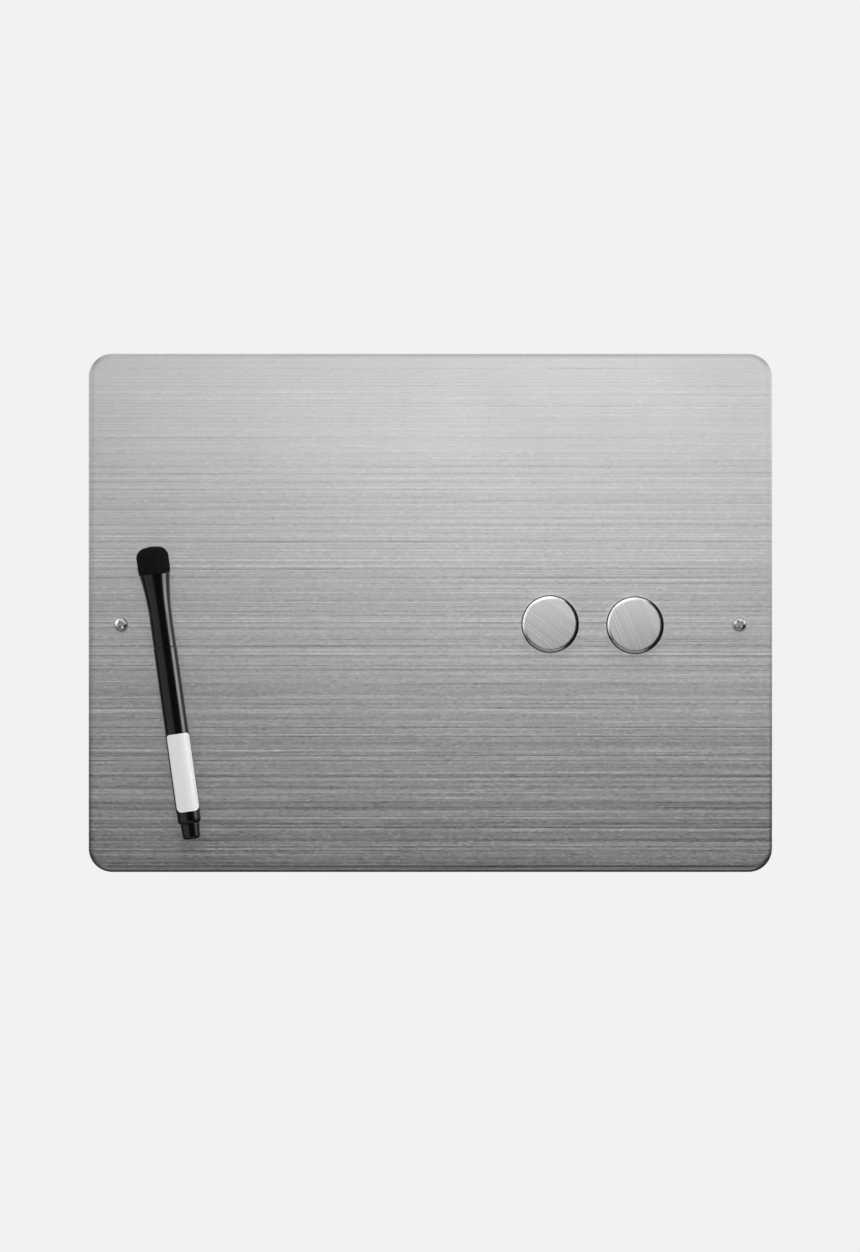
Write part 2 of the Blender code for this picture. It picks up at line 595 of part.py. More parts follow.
def tail_plug(surfaces, axis):
    """The stopper at the tail: a tapered end below the barrel and a spigot inside it."""
    edge_centre = (PLUG_END_RADIUS - PLUG_EDGE_RADIUS, PLUG_EDGE_RADIUS)
    edge = arc(edge_centre, PLUG_EDGE_RADIUS, 3, 4, EDGE_STEPS)
    profile = [(0, 0)] + edge + [
        (PLUG_TOP_RADIUS, PLUG_LENGTH), (INSERT_RADIUS, PLUG_LENGTH),
        (INSERT_RADIUS, BARREL_FOOT + PLUG_SPIGOT_LENGTH), (0, BARREL_FOOT + PLUG_SPIGOT_LENGTH),
    ]
    marker_piece("tail_plug", profile, INNER_SEGMENTS, surfaces["gloss plastic"], axis)


def barrel_label(surfaces, axis):
    """The bare label round the front half of the barrel, on the barrel's own facets."""
    near = BARREL_RADIUS + LABEL_GAP
    far = near + LABEL_THICKNESS
    foot = BARREL_FOOT + LABEL_FROM_BARREL_FOOT
    top = foot + LABEL_LENGTH
    sections = []
    for facet in range(-MARKER_SEGMENTS // 2, 1):
        angle = math.tau * facet / MARKER_SEGMENTS
        outward = Vector((math.cos(angle), math.sin(angle), 0))
        corners = ((near, foot), (far, foot), (far, top), (near, top))
        sections.append([outward * radius + Vector((0, 0, height)) for radius, height in corners])
    label = add_piece("barrel_label", loft(sections), surfaces["label film"], axis)
    label.location = (0, 0, -MARKER_LENGTH / 2)


def marker(surfaces):
    """The capped marker, held by its head, leaning a little across the left of the board."""
    place = (MARKER_X, -MARKER_AXIS_DEPTH, -MARKER_DROP)
    axis = add_empty("marker_axis", place, (0, MARKER_TILT, 0))
    for build in (
        marker_cap, cap_magnet, cap_seal, eraser_holder, felt_eraser,
        marker_barrel, nib_holder, writing_nib, ink_reservoir, tail_plug, barrel_label,
    ):
        build(surfaces, axis)


def main():
    """Build the whole board with what hangs on it."""
    clear_scene()
    surfaces = {
        "brushed cup": material("brushed magnet steel", (0.62, 0.62, 0.62), 0.32, 1.0),
        "ferrite": material("ferrite", (0.09, 0.09, 0.10), 0.55),
        "liner rubber": material("liner rubber", (0.04, 0.04, 0.04), 0.8),
        "gloss plastic": material("gloss black plastic", (0.012, 0.012, 0.014), 0.18),
        "seal": material("seal plastic", (0.75, 0.75, 0.73), 0.45),
        "felt": material("eraser felt", (0.012, 0.012, 0.012), 1.0),
        "nib fibre": material("nib fibre", (0.02, 0.02, 0.022), 0.8),
        "ink fibre": material("ink fibre", (0.03, 0.03, 0.035), 0.9),
        "label film": material("label film", (0.80, 0.80, 0.80), 0.35),
    }
    board_steel = material("brushed board steel", (0.56, 0.56, 0.56), 0.34, 1.0)
    hardboard = material("hardboard", (0.20, 0.12, 0.07), 0.85)
    foam = material("pad foam", (0.10, 0.10, 0.10), 0.95)
    screw_steel = material("screw steel", (0.60, 0.60, 0.60), 0.22, 1.0)
    nylon = material("nylon", (0.62, 0.62, 0.60), 0.5)

    screw_places = {"left": (-SCREW_X, -SCREW_DROP), "right": (SCREW_X, -SCREW_DROP)}
    face_pan(board_steel, screw_places)
    stiffener_panel(hardboard, screw_places)
    foam_pads(foam)
    wall_fixings(screw_places, screw_steel, nylon)
    magnet("magnet_left", LEFT_MAGNET_X, LEFT_MAGNET_DROP, surfaces)
    magnet("magnet_right", RIGHT_MAGNET_X, RIGHT_MAGNET_DROP, surfaces)
    marker(surfaces)
    bpy.context.view_layer.update()


main()
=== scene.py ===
"""A brushed steel magnetic whiteboard with two magnets and a capped marker, dressed for rendering.

The file is laid out as a Blender add-on. Property groups hold the sizes and colours that a user would
change, each operator makes one piece or group of like pieces, and main() calls them in order.
Everything is in metres, +Z up, and the board's front faces -Y.
"""

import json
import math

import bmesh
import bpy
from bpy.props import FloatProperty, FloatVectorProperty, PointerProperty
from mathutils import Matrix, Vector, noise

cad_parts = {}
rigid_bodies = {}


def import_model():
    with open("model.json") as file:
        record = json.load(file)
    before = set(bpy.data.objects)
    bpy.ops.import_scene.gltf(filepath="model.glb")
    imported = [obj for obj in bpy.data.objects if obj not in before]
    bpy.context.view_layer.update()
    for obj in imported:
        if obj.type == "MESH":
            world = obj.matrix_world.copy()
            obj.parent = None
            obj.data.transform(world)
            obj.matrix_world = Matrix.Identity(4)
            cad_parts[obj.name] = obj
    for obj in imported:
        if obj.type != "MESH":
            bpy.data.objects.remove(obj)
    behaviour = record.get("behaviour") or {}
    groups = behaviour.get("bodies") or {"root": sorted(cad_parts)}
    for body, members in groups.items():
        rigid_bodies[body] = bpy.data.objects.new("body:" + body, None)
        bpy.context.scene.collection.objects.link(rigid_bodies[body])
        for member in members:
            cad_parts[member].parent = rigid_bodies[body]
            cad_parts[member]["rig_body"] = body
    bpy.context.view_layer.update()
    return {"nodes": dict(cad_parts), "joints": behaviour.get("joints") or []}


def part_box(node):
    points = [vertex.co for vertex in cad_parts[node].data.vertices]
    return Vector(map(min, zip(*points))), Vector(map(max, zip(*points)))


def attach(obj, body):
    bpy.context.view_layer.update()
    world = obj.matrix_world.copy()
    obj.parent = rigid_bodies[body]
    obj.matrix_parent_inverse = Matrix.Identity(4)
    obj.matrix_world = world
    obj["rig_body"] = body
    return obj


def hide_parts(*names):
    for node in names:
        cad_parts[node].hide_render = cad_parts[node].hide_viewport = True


bl_info = {
    "name": "Magnetic Whiteboard",
    "version": (1, 0, 0),
    "blender": (4, 5, 0),
    "location": "View3D > Sidebar > Whiteboard",
    "description": "Builds a wall-hung steel board with its fixings, two magnets and a capped marker",
    "category": "Object",
}

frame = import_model()

MM = 0.001
TINY = 1e-7
QUARTER = math.pi / 2

# Facet counts for round work
CORNER_STEPS = 24
BEND_STEPS = 10
TURNED_SEGMENTS = 96
MAGNET_SEGMENTS = 144
THREAD_SEGMENTS = 48
THREAD_RINGS_PER_TURN = 10
ARC_STEPS = 6
BEVEL_STEPS = 12
FILM_COLUMNS = 80

# Faces that meet at a sharper angle than this keep their crease under smooth shading
CREASE = math.radians(32)

# Rounding the corners of an outline: a gentler bend than the least one stays, a rounding takes at most
# its share of a side, and a side of this many radii counts as long
LEAST_BEND = math.radians(12)
SIDE_SHARE = 0.45
LONG_SIDE = 4


# The frame

def box_corners(node_name):
    """The lowest and highest corners of a CAD node's box."""
    low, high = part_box(node_name)
    return Vector(low), Vector(high)


def middle(node_name):
    """The middle of a CAD node's box."""
    low, high = box_corners(node_name)
    return (low + high) / 2


def joint_axis(name):
    """The direction of a joint in the frame."""
    return next(Vector(joint["axis"]) for joint in frame["joints"] if joint["name"] == name)


# The marker's own axes: Z runs up the marker and Y stays square to the board
MARKER_UP = -joint_axis("marker_uncap").normalized()
MARKER_MIDDLE = middle("marker_barrel")


def stations(node_name):
    """Where a marker node starts and ends along the marker, and how far it reaches from the axis."""
    heights = []
    reaches = []
    for vertex in frame["nodes"][node_name].data.vertices:
        offset = vertex.co - MARKER_MIDDLE
        height = offset.dot(MARKER_UP)
        heights.append(height)
        reaches.append((offset - MARKER_UP * height).length)
    return min(heights), max(heights), max(reaches)


MARKER_TAIL = stations("tail_plug")[0]
MARKER_MATRIX = Matrix.LocRotScale(
    MARKER_MIDDLE + MARKER_UP * MARKER_TAIL,
    Matrix((Vector((MARKER_UP.z, 0, -MARKER_UP.x)), (0, 1, 0), MARKER_UP)).transposed().to_quaternion(),
    None,
)
TRAY_LOW, TRAY_HIGH = box_corners("face_pan")
MAGNET_LOW, MAGNET_HIGH = box_corners("magnet_left_cup")
MAGNET_DEPTH = MAGNET_HIGH.y - MAGNET_LOW.y


def on_marker(node_name):
    """A marker node's foot and head above the tail, and its reach from the axis."""
    foot, head, reach = stations(node_name)
    return foot - MARKER_TAIL, head - MARKER_TAIL, reach


# Settings

def length(name, description, default):
    """A length that a user would change."""
    return FloatProperty(
        name=name, description=description, default=default, min=0, precision=5, unit="LENGTH",
    )


def share(name, description, default):
    """A plain number from 0 to 1."""
    return FloatProperty(
        name=name, description=description, default=default, min=0, max=1, subtype="FACTOR",
    )


def power(name, description, default):
    """The strength of a lamp."""
    return FloatProperty(name=name, description=description, default=default, min=0, unit="POWER")


def direction(name, description, default):
    """An angle."""
    return FloatProperty(name=name, description=description, default=default, subtype="ANGLE")


def colour(name, description, default):
    """A surface colour."""
    return FloatVectorProperty(
        name=name, description=description, default=default, size=3, min=0, max=1, subtype="COLOR",
    )


class TraySizes(bpy.types.PropertyGroup):
    """Sizes of the pressed steel tray."""

    corner_radius: length("Corner radius", "Radius of the board's corners", 10.5 * MM)
    bend_radius: length("Bend radius", "Outer radius of the rolled edge", 2.6 * MM)
    sheet: length("Sheet thickness", "Thickness of the steel sheet", 0.8 * MM)
    rim_round: length("Rim rounding", "Deburring radius of the rear rim", 0.2 * MM)
    hole_radius: length("Screw hole radius", "Radius of the holes that the screws pass", 2.1 * MM)


class FixingSizes(bpy.types.PropertyGroup):
    """Sizes of the screws and foam pads."""

    head_height: length("Head height", "Height of the screw heads", 2.2 * MM)
    head_side: length("Head side", "Straight side of the screw heads below the dome", 0.5 * MM)
    head_flat: length("Head flat radius", "Radius of the flat on top of the heads", 1.2 * MM)
    recess_span: length("Recess span", "Width across the cross recess", 3.8 * MM)
    recess_arm: length("Recess arm", "Width of one arm of the cross recess", 0.9 * MM)
    recess_depth: length("Recess depth", "Depth of the cross recess", 1.3 * MM)
    thread_crest: length("Thread crest radius", "Radius over the screw's thread", 1.72 * MM)
    thread_root: length("Thread root radius", "Radius at the foot of the screw's thread", 1.25 * MM)
    thread_pitch: length("Thread pitch", "Rise of the thread in one turn", 1.35 * MM)
    tip_length: length("Tip length", "Length over which the screws taper to their tip", 3.5 * MM)
    tip_radius: length("Tip radius", "Radius that is left at the screws' tip", 0.12 * MM)
    left_turn: direction("Left turn", "How the left screw's recess is turned", math.radians(24))
    right_turn: direction("Right turn", "How the right screw's recess is turned", math.radians(31))
    pad_corner: length("Pad corner radius", "Corner radius of the foam pads", 3.0 * MM)
    pad_edge: length("Pad edge softness", "Rounding of the foam pads' edges", 0.7 * MM)


class MagnetSizes(bpy.types.PropertyGroup):
    """Sizes of the round magnets."""

    bevel_width: length("Bevel width", "Width of the bevel round the steel cup's face", 1.9 * MM)
    bevel_depth: length("Bevel depth", "Depth of the bevel round the steel cup's face", 1.25 * MM)
    wall: length("Cup wall", "Thickness of the steel cup", 1.0 * MM)
    rim_round: length("Rim rounding", "Rounding of the steel cup's rim", 0.3 * MM)
    left_brushing: direction(
        "Left brushing", "Direction of the left magnet's brush marks, below level", math.radians(38),
    )
    right_brushing: direction(
        "Right brushing", "Direction of the right magnet's brush marks, below level", math.radians(67),
    )


class MarkerSizes(bpy.types.PropertyGroup):
    """Sizes of the marker that its outline needs beside the frame's own."""

    lip_radius: length("Cap lip radius", "Outer radius at the cap's open end", 5.05 * MM)
    cap_bore: length("Cap bore", "Inner radius of the cap", 4.35 * MM)
    cap_pocket: length("Cap pocket", "Radius of the pocket in the cap's head", 5.35 * MM)
    flare_length: length("Flare length", "Length over which the cap widens to its head", 20 * MM)
    flare_power: FloatProperty(
        name="Flare power", description="How late along its length the cap widens", default=2.0, min=1,
    )
    head_edge: length("Head edge", "Height of the edge at which the cap's head draws in", 0.35 * MM)
    head_draw: length("Head draw", "How far the cap's head draws in at its edge", 0.1 * MM)
    inner_gap: length("Inner gap", "Gap round the pieces that the cap and the eraser hold", 0.3 * MM)
    barrel_bore: length("Barrel bore", "Inner radius of the barrel", 3.85 * MM)
    barrel_shoulder: length("Barrel shoulder", "Length over which the barrel draws in to its plug", 2.2 * MM)
    insert_radius: length("Insert radius", "Radius of what plugs into the barrel", 3.55 * MM)
    plug_top: length("Plug top radius", "Radius of the tail plug where it meets the barrel", 4.2 * MM)
    plug_end: length("Plug end radius", "Radius of the tail plug at its end", 3.9 * MM)
    plug_round: length("Plug rounding", "Rounding of the tail plug's end", 1.5 * MM)
    collar_radius: length("Collar radius", "Radius of the collar that the cap fits over", 4.05 * MM)
    collar_length: length("Collar length", "Length of the collar that the cap fits over", 10 * MM)
    cone_length: length("Cone length", "Length over which the collar draws in to the nose", 6 * MM)
    nose_radius: length("Nose radius", "Radius of the nose round the nib", 2.3 * MM)
    nib_bore: length("Nib bore", "Radius of the hole for the nib", 1.8 * MM)
    nib_point: length("Nib point", "Length of the nib's rounded point", 1.8 * MM)
    nib_blunt: length("Nib blunting", "Radius that is left flat at the nib's end", 0.5 * MM)
    label_corner_top: length("Label corner, top", "Corner radius at the label's upper end", 1.3 * MM)
    label_corner_foot: length("Label corner, foot", "Corner radius at the label's lower end", 2.1 * MM)
    label_half_width: length("Label half width", "Half of the label's width from the front", 4.93 * MM)
    label_shift: length("Label shift", "How far right of the barrel's middle the label sits", 0.27 * MM)
    label_margin: length("Label margin", "How far the backing shows at the label's ends", 0.1 * MM)
    backing_corner: length("Backing corner", "Corner radius of the label's backing", 0.3 * MM)
    film: length("Film thickness", "Thickness of the label's two films", 0.1 * MM)
    film_gap: length("Film gap", "Gap between the label's two films", 0.01 * MM)
    seam: length("Seam", "Gap that is left where marker pieces meet", 0.06 * MM)
    felt_shoulder: length("Felt shoulder", "Rounding of the eraser's far end", 4.5 * MM)
    felt_side: length("Felt side height", "Height at which the eraser is widest", 3.2 * MM)
    felt_crown: length("Felt crown", "Rise of the eraser's crown", 0.3 * MM)
    felt_draw: length("Felt draw", "How much the eraser draws in at its foot", 0.22 * MM)
    felt_bore: length("Felt bore", "Radius of the eraser's hole for its holder's stem", 2.8 * MM)
    felt_pocket: length("Felt pocket", "Depth of the eraser's pocket for its holder's flange", 1.3 * MM)


class FinishColours(bpy.types.PropertyGroup):
    """Colours of the finishes."""

    board_steel: colour("Board steel", "Colour of the brushed sheet", (0.56, 0.56, 0.56))
    magnet_steel: colour("Magnet steel", "Colour of the magnets' cups", (0.62, 0.62, 0.62))
    screw_steel: colour("Screw steel", "Colour of the screws", (0.60, 0.60, 0.60))
    black_plastic: colour("Marker plastic", "Colour of the marker's mouldings", (0.0032, 0.0032, 0.0036))
    felt: colour("Felt", "Colour of the eraser", (0.006, 0.006, 0.006))
    label: colour("Label", "Colour of the bare label", (0.88, 0.88, 0.88))
    hardboard: colour("Hardboard", "Colour of the stiffener", (0.20, 0.12, 0.07))
    foam: colour("Foam", "Colour of the pads", (0.06, 0.06, 0.065))
    nylon: colour("Nylon", "Colour of the spacers and anchors", (0.60, 0.60, 0.57))
    ferrite: colour("Ferrite", "Colour of the magnet discs", (0.07, 0.07, 0.075))
    rubber: colour("Rubber", "Colour of the magnets' liners", (0.03, 0.03, 0.03))
    seal: colour("Seal", "Colour of the seal in the cap", (0.72, 0.72, 0.69))
    ink: colour("Ink", "Colour of the inked fibres", (0.012, 0.012, 0.015))


class StageSettings(bpy.types.PropertyGroup):
    """Lamps, backdrop and camera distance."""

    key_power: power("Key power", "Strength of the graded softboxes, for each metre of their width", 4.9)
    side_power: power("Side lamp", "Strength of the lamp beside the marker, on the right", 1.0)
    left_power: power("Left lamp", "Strength of the dim lamp to the left of the marker", 1.18)
    top_power: power("Top lamp", "Strength of the lamp above the marker", 1.5)
    accent_power: power("Accent lamp", "Strength of the lamps on the magnets and screws", 1.15)
    rear_power: power("Rear lamp", "Strength of the lamp behind the board", 4.0)
    backdrop: share("Backdrop level", "How light the plain background is", 0.888)
    room_light: share("Room light", "Light from the room on matt surfaces", 0.5)
    camera_distance: length("Camera distance", "From the camera to the board's face", 3.0)


class WhiteboardSettings(bpy.types.PropertyGroup):
    """Everything that the panel shows."""

    tray: PointerProperty(type=TraySizes)
    fixings: PointerProperty(type=FixingSizes)
    magnets: PointerProperty(type=MagnetSizes)
    marker: PointerProperty(type=MarkerSizes)
    finish: PointerProperty(type=FinishColours)
    stage: PointerProperty(type=StageSettings)


def settings():
    """The scene's whiteboard settings."""
    return bpy.context.scene.whiteboard


# Meshes

def add_object(name, data, matrix=None):
    """A new object in the scene, stood where a matrix says."""
    made = bpy.data.objects.new(name, data)
    bpy.context.collection.objects.link(made)
    if matrix is not None:
        made.matrix_world = matrix
    return made


def mesh_of(name, bm, solid=True):
    """A mesh made of a bmesh, which is freed. A solid's faces are turned outwards first."""
    if solid:
        bmesh.ops.recalc_face_normals(bm, faces=bm.faces[:])
    mesh = bpy.data.meshes.new(name)
    bm.to_mesh(mesh)
    bm.free()
    return mesh


def shade(mesh):
    """Smooth shading that keeps a mesh's creases."""
    mesh.shade_smooth()
    mesh.set_sharp_from_angle(angle=CREASE)


def add_piece(name, bm, finish_name, body, nodes, matrix=None):
    """Turn a bmesh into a finished piece that rides on a body and stands for CAD nodes."""
    mesh = mesh_of(name, bm)
    mesh.materials.append(finish(finish_name))
    shade(mesh)
    piece = add_object(name, mesh, matrix)
    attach(piece, body)
    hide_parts(*nodes)
    return piece


def dress(node_name, finish_name):
    """Give a CAD node that shows its own shape a better material and smooth shading."""
    mesh = frame["nodes"][node_name].data
    mesh.materials.clear()
    mesh.materials.append(finish(finish_name))
    shade(mesh)


def cut_away(bm, cutter_bm):
    """A bmesh with another closed bmesh cut out of it. Both are freed."""
    stock = add_object("stock", mesh_of("stock", bm))
    cutter = add_object("cutter", mesh_of("cutter", cutter_bm))
    boolean = stock.modifiers.new("cut", "BOOLEAN")
    boolean.operation = "DIFFERENCE"
    boolean.solver = "EXACT"
    boolean.object = cutter
    bpy.context.view_layer.update()
    result = bmesh.new()
    result.from_mesh(stock.evaluated_get(bpy.context.evaluated_depsgraph_get()).data)
    for used in (stock, cutter):
        mesh = used.data
        bpy.data.objects.remove(used)
        bpy.data.meshes.remove(mesh)
    return result


def arc(centre, radius, start, end, steps):
    """Points of a round stretch of an outline, between two angles in quarter turns."""
    points = []
    for step in range(steps + 1):
        angle = QUARTER * (start + (end - start) * step / steps)
        points.append((centre[0] + radius * math.cos(angle), centre[1] + radius * math.sin(angle)))
    return points


def rounded_rectangle(width, height, radius, steps):
    """Outline of a rectangle with round corners, about its middle."""
    across = width / 2 - radius
    up = height / 2 - radius
    points = []
    for quarter, centre in enumerate(((across, up), (-across, up), (-across, -up), (across, -up))):
        points += arc(centre, radius, quarter, quarter + 1, steps)
    return points


def softened(outline, radius, steps=3):
    """An open outline with each inner corner rounded off by up to a radius.

    A long side gets a point beside each rounding, so that its shading stays straight.
    """
    points = [Vector(outline[0])]
    for before, corner, after in zip(outline, outline[1:], outline[2:]):
        corner = Vector(corner)
        back = Vector(before) - corner
        on = Vector(after) - corner
        if min(back.length, on.length) < TINY or back.angle(-on) < LEAST_BEND:
            points.append(corner)
            continue
        start = corner + back.normalized() * min(radius, back.length * SIDE_SHARE)
        end = corner + on.normalized() * min(radius, on.length * SIDE_SHARE)
        if back.length > LONG_SIDE * radius:
            points.append(start + back.normalized() * radius)
        for step in range(steps + 1):
            t = step / steps
            points.append(start * (1 - t) ** 2 + corner * 2 * t * (1 - t) + end * t ** 2)
        if on.length > LONG_SIDE * radius:
            points.append(end + on.normalized() * radius)
    points.append(Vector(outline[-1]))
    return [(point[0], point[1]) for point in points]


def skin(sections):
    """A closed solid over a row of like outlines, given as 3D points."""
    bm = bmesh.new()
    rings = [[bm.verts.new(point) for point in section] for section in sections]
    for near, far in zip(rings, rings[1:]):
        for index, vert in enumerate(near):
            after = (index + 1) % len(near)
            bm.faces.new((vert, near[after], far[after], far[index]))
    bm.faces.new(rings[0])
    bm.faces.new(reversed(rings[-1]))
    return bm


def pressed(profile, width, height, corner, steps, least_corner=0.0):
    """A plate with round corners, its edge following a profile of (inset, depth) points."""
    sections = []
    for inset, y in profile:
        radius = max(corner - inset, least_corner)
        outline = rounded_rectangle(width - 2 * inset, height - 2 * inset, radius, steps)
        sections.append([(x, y, z) for x, z in outline])
    return skin(sections)


def turned(outline, segments=TURNED_SEGMENTS, closed=False, reach=None):
    """Spin an outline of (radius, height) points about Z.

    An open outline starts and ends on the axis, and a closed one makes a ring round a bore. reach can
    change a radius with the angle and height, for a thread or an uneven surface.
    """
    bm = bmesh.new()
    rings = []
    for radius, height in outline:
        if radius < TINY:
            rings.append([bm.verts.new((0, 0, height))])
            continue
        ring = []
        for segment in range(segments):
            angle = math.tau * segment / segments
            out = reach(radius, height, angle) if reach else radius
            ring.append(bm.verts.new((out * math.cos(angle), out * math.sin(angle), height)))
        rings.append(ring)
    pairs = list(zip(rings, rings[1:]))
    if closed:
        pairs.append((rings[-1], rings[0]))
    for near, far in pairs:
        for segment in range(segments):
            after = (segment + 1) % segments
            loop = [near[segment % len(near)], near[after % len(near)]]
            loop += [far[after % len(far)], far[segment % len(far)]]
            loop = list(dict.fromkeys(loop))
            if len(loop) > 2:
                bm.faces.new(loop)
    return bm


def facing_out(place):
    """A matrix that stands a turned piece on the board, its Z axis pointing out of the face."""
    return Matrix.Translation(place) @ Matrix.Rotation(QUARTER, 4, "X")


# Shader building

def node(tree, kind, values=None, **options):
    """Add a shader node, set its options, and set or link its inputs by name or number."""
    made = tree.nodes.new(kind)
    for key, value in options.items():
        setattr(made, key, value)
    for key, value in (values or {}).items():
        if isinstance(value, bpy.types.NodeSocket):
            tree.links.new(value, made.inputs[key])
        else:
            made.inputs[key].default_value = value
    return made


def maths(tree, operation, first, second=0.0, clamp=False):
    """One maths step, and its result."""
    made = node(tree, "ShaderNodeMath", {0: first, 1: second}, operation=operation, use_clamp=clamp)
    return made.outputs[0]


def scaled(tree, vector, scale):
    """A vector or colour times one value."""
    return node(tree, "ShaderNodeVectorMath", {0: vector, "Scale": scale}, operation="SCALE").outputs[0]


def stretched(tree, vector, factors):
    """A vector with a factor for each axis."""
    return node(tree, "ShaderNodeVectorMath", {0: vector, 1: factors}, operation="MULTIPLY").outputs[0]


def axes_of(tree, vector):
    """The X, Y and Z of a vector."""
    return node(tree, "ShaderNodeSeparateXYZ", {0: vector}).outputs


def vector_of(tree, x, y, z):
    """A vector from its X, Y and Z."""
    return node(tree, "ShaderNodeCombineXYZ", {"X": x, "Y": y, "Z": z}).outputs[0]


def ranged(tree, value, to, over=(0.0, 1.0)):
    """A value carried to one range over another, and held at both ends."""
    values = {"Value": value, "From Min": over[0], "From Max": over[1], "To Min": to[0], "To Max": to[1]}
    return node(tree, "ShaderNodeMapRange", values, clamp=True).outputs["Result"]


def noise_at(tree, vector, scale=1.0, detail=2.0, roughness=0.5, offset=0.0):
    """A noise value from a vector, moved along so that layers differ."""
    moved = node(tree, "ShaderNodeVectorMath", {0: vector, 1: (offset, offset, offset)}, operation="ADD")
    values = {"Vector": moved.outputs[0], "Scale": scale, "Detail": detail, "Roughness": roughness}
    return node(tree, "ShaderNodeTexNoise", values).outputs["Fac"]


def relief(tree, height, strength, depth):
    """A normal that follows a height."""
    values = {"Strength": strength, "Distance": depth, "Height": height}
    return node(tree, "ShaderNodeBump", values).outputs[0]


def swinging(tree, mask, contrast, gain):
    """A tone that swings about 1 as a mask swings about its middle."""
    swing = maths(tree, "SUBTRACT", mask, 0.5)
    reach = maths(tree, "MULTIPLY", contrast, gain)
    return maths(tree, "ADD", maths(tree, "MULTIPLY", swing, reach), 1.0)


def connect(tree, receiver, **values):
    """Link values to a node's inputs, by their names in lower case."""
    for key, value in values.items():
        tree.links.new(value, receiver.inputs[key.replace("_", " ").title()])


# The values between which a mask fades in or out
FADE_IN = (0.0, 1.0)
FADE_OUT = (1.0, 0.0)


# Shared effects

FLOAT = "NodeSocketFloat"
VECTOR = "NodeSocketVector"


def new_group(name, inputs, outputs):
    """An empty shader node group with named sockets, and its input sockets and output node."""
    group = bpy.data.node_groups.new(name, "ShaderNodeTree")
    for label, kind, default in inputs:
        socket = group.interface.new_socket(label, in_out="INPUT", socket_type=kind)
        if default is not None:
            socket.default_value = default
    for label, kind in outputs:
        group.interface.new_socket(label, in_out="OUTPUT", socket_type=kind)
    return group, group.nodes.new("NodeGroupInput").outputs, group.nodes.new("NodeGroupOutput")


# Brush marks in layers: how fast they drift and fade along the brushing and how fine they are across it,
# as shares of the two scales, then their weight in the tone and in the grooves, and a place in the noise
BRUSH_LAYERS = (
    (0.10, 0.6, 0.16, 0.45, 0.3, 3.1),
    (0.12, 2.0, 0.9, 0.90, 0.6, 17.7),
    (0.20, 6.0, 1.3, 0.90, 0.8, 41.3),
    (0.30, 6.0, 2.1, 0.60, 0.4, 53.9),
    (110.0, 40.0, 1.6, 0.90, 0.0, 67.9),
)
# How a layer's strength comes and goes as the noise that fades it swings, and how far off that noise lies
BRUSH_FADE = (0.1, 1.9)
BRUSH_FADE_SWING = (-0.25, 0.25)
BRUSH_FADE_OFFSET = 5.3
# The swing of the summed layers that makes their contrast read as a share of the tone
LAYER_SPREAD = 0.15


def brushed_grain_group():
    """Long straight brush marks: a tone, a roughness mask and a grooved normal."""
    inputs = [
        ("Vector", VECTOR, None), ("Along", FLOAT, 5.0), ("Across", FLOAT, 900.0),
        ("Contrast", FLOAT, 0.12), ("Groove", FLOAT, 0.5), ("Depth", FLOAT, 0.0002),
    ]
    outputs = [("Tone", FLOAT), ("Mask", FLOAT), ("Normal", VECTOR)]
    tree, given, result = new_group("brushed_grain", inputs, outputs)
    place = axes_of(tree, given["Vector"])

    def marks(along_share, across_share, offset):
        """Noise stretched along the brushing, about zero."""
        along = maths(tree, "MULTIPLY", given["Along"], along_share)
        across = maths(tree, "MULTIPLY", given["Across"], across_share)
        x = maths(tree, "MULTIPLY", place["X"], along)
        y = maths(tree, "MULTIPLY", place["Y"], along)
        z = maths(tree, "MULTIPLY", place["Z"], across)
        lines = noise_at(tree, vector_of(tree, x, y, z), detail=0.0, offset=offset)
        return maths(tree, "SUBTRACT", lines, 0.5)

    tone_height = groove_height = 0.0
    for drift_share, fade_share, across_share, tone_weight, groove_weight, offset in BRUSH_LAYERS:
        lines = marks(drift_share, across_share, offset)
        coming = marks(fade_share, across_share, offset + BRUSH_FADE_OFFSET)
        layer = maths(tree, "MULTIPLY", lines, ranged(tree, coming, BRUSH_FADE, BRUSH_FADE_SWING))
        tone_height = maths(tree, "ADD", tone_height, maths(tree, "MULTIPLY", layer, tone_weight))
        groove_height = maths(tree, "ADD", groove_height, maths(tree, "MULTIPLY", layer, groove_weight))
    swing = maths(tree, "MULTIPLY", tone_height, given["Contrast"])
    connect(
        tree, result, tone=maths(tree, "ADD", maths(tree, "DIVIDE", swing, LAYER_SPREAD), 1.0),
        mask=ranged(tree, tone_height, FADE_IN, (-2 * LAYER_SPREAD, 2 * LAYER_SPREAD)),
        normal=relief(tree, groove_height, given["Groove"], given["Depth"]),
    )
    return tree


# Handling: the noise levels at which smudges and hairlines show, how long a hairline is drawn out, and
# the weight of each
SMUDGE_LEVELS = (0.42, 0.72)
HAIRLINE_LEVELS = (0.66, 0.72)
HAIRLINE_STRETCH = (1.0, 1.0, 26.0)
SMUDGE_WEIGHT = 0.7
HAIRLINE_WEIGHT = 0.3


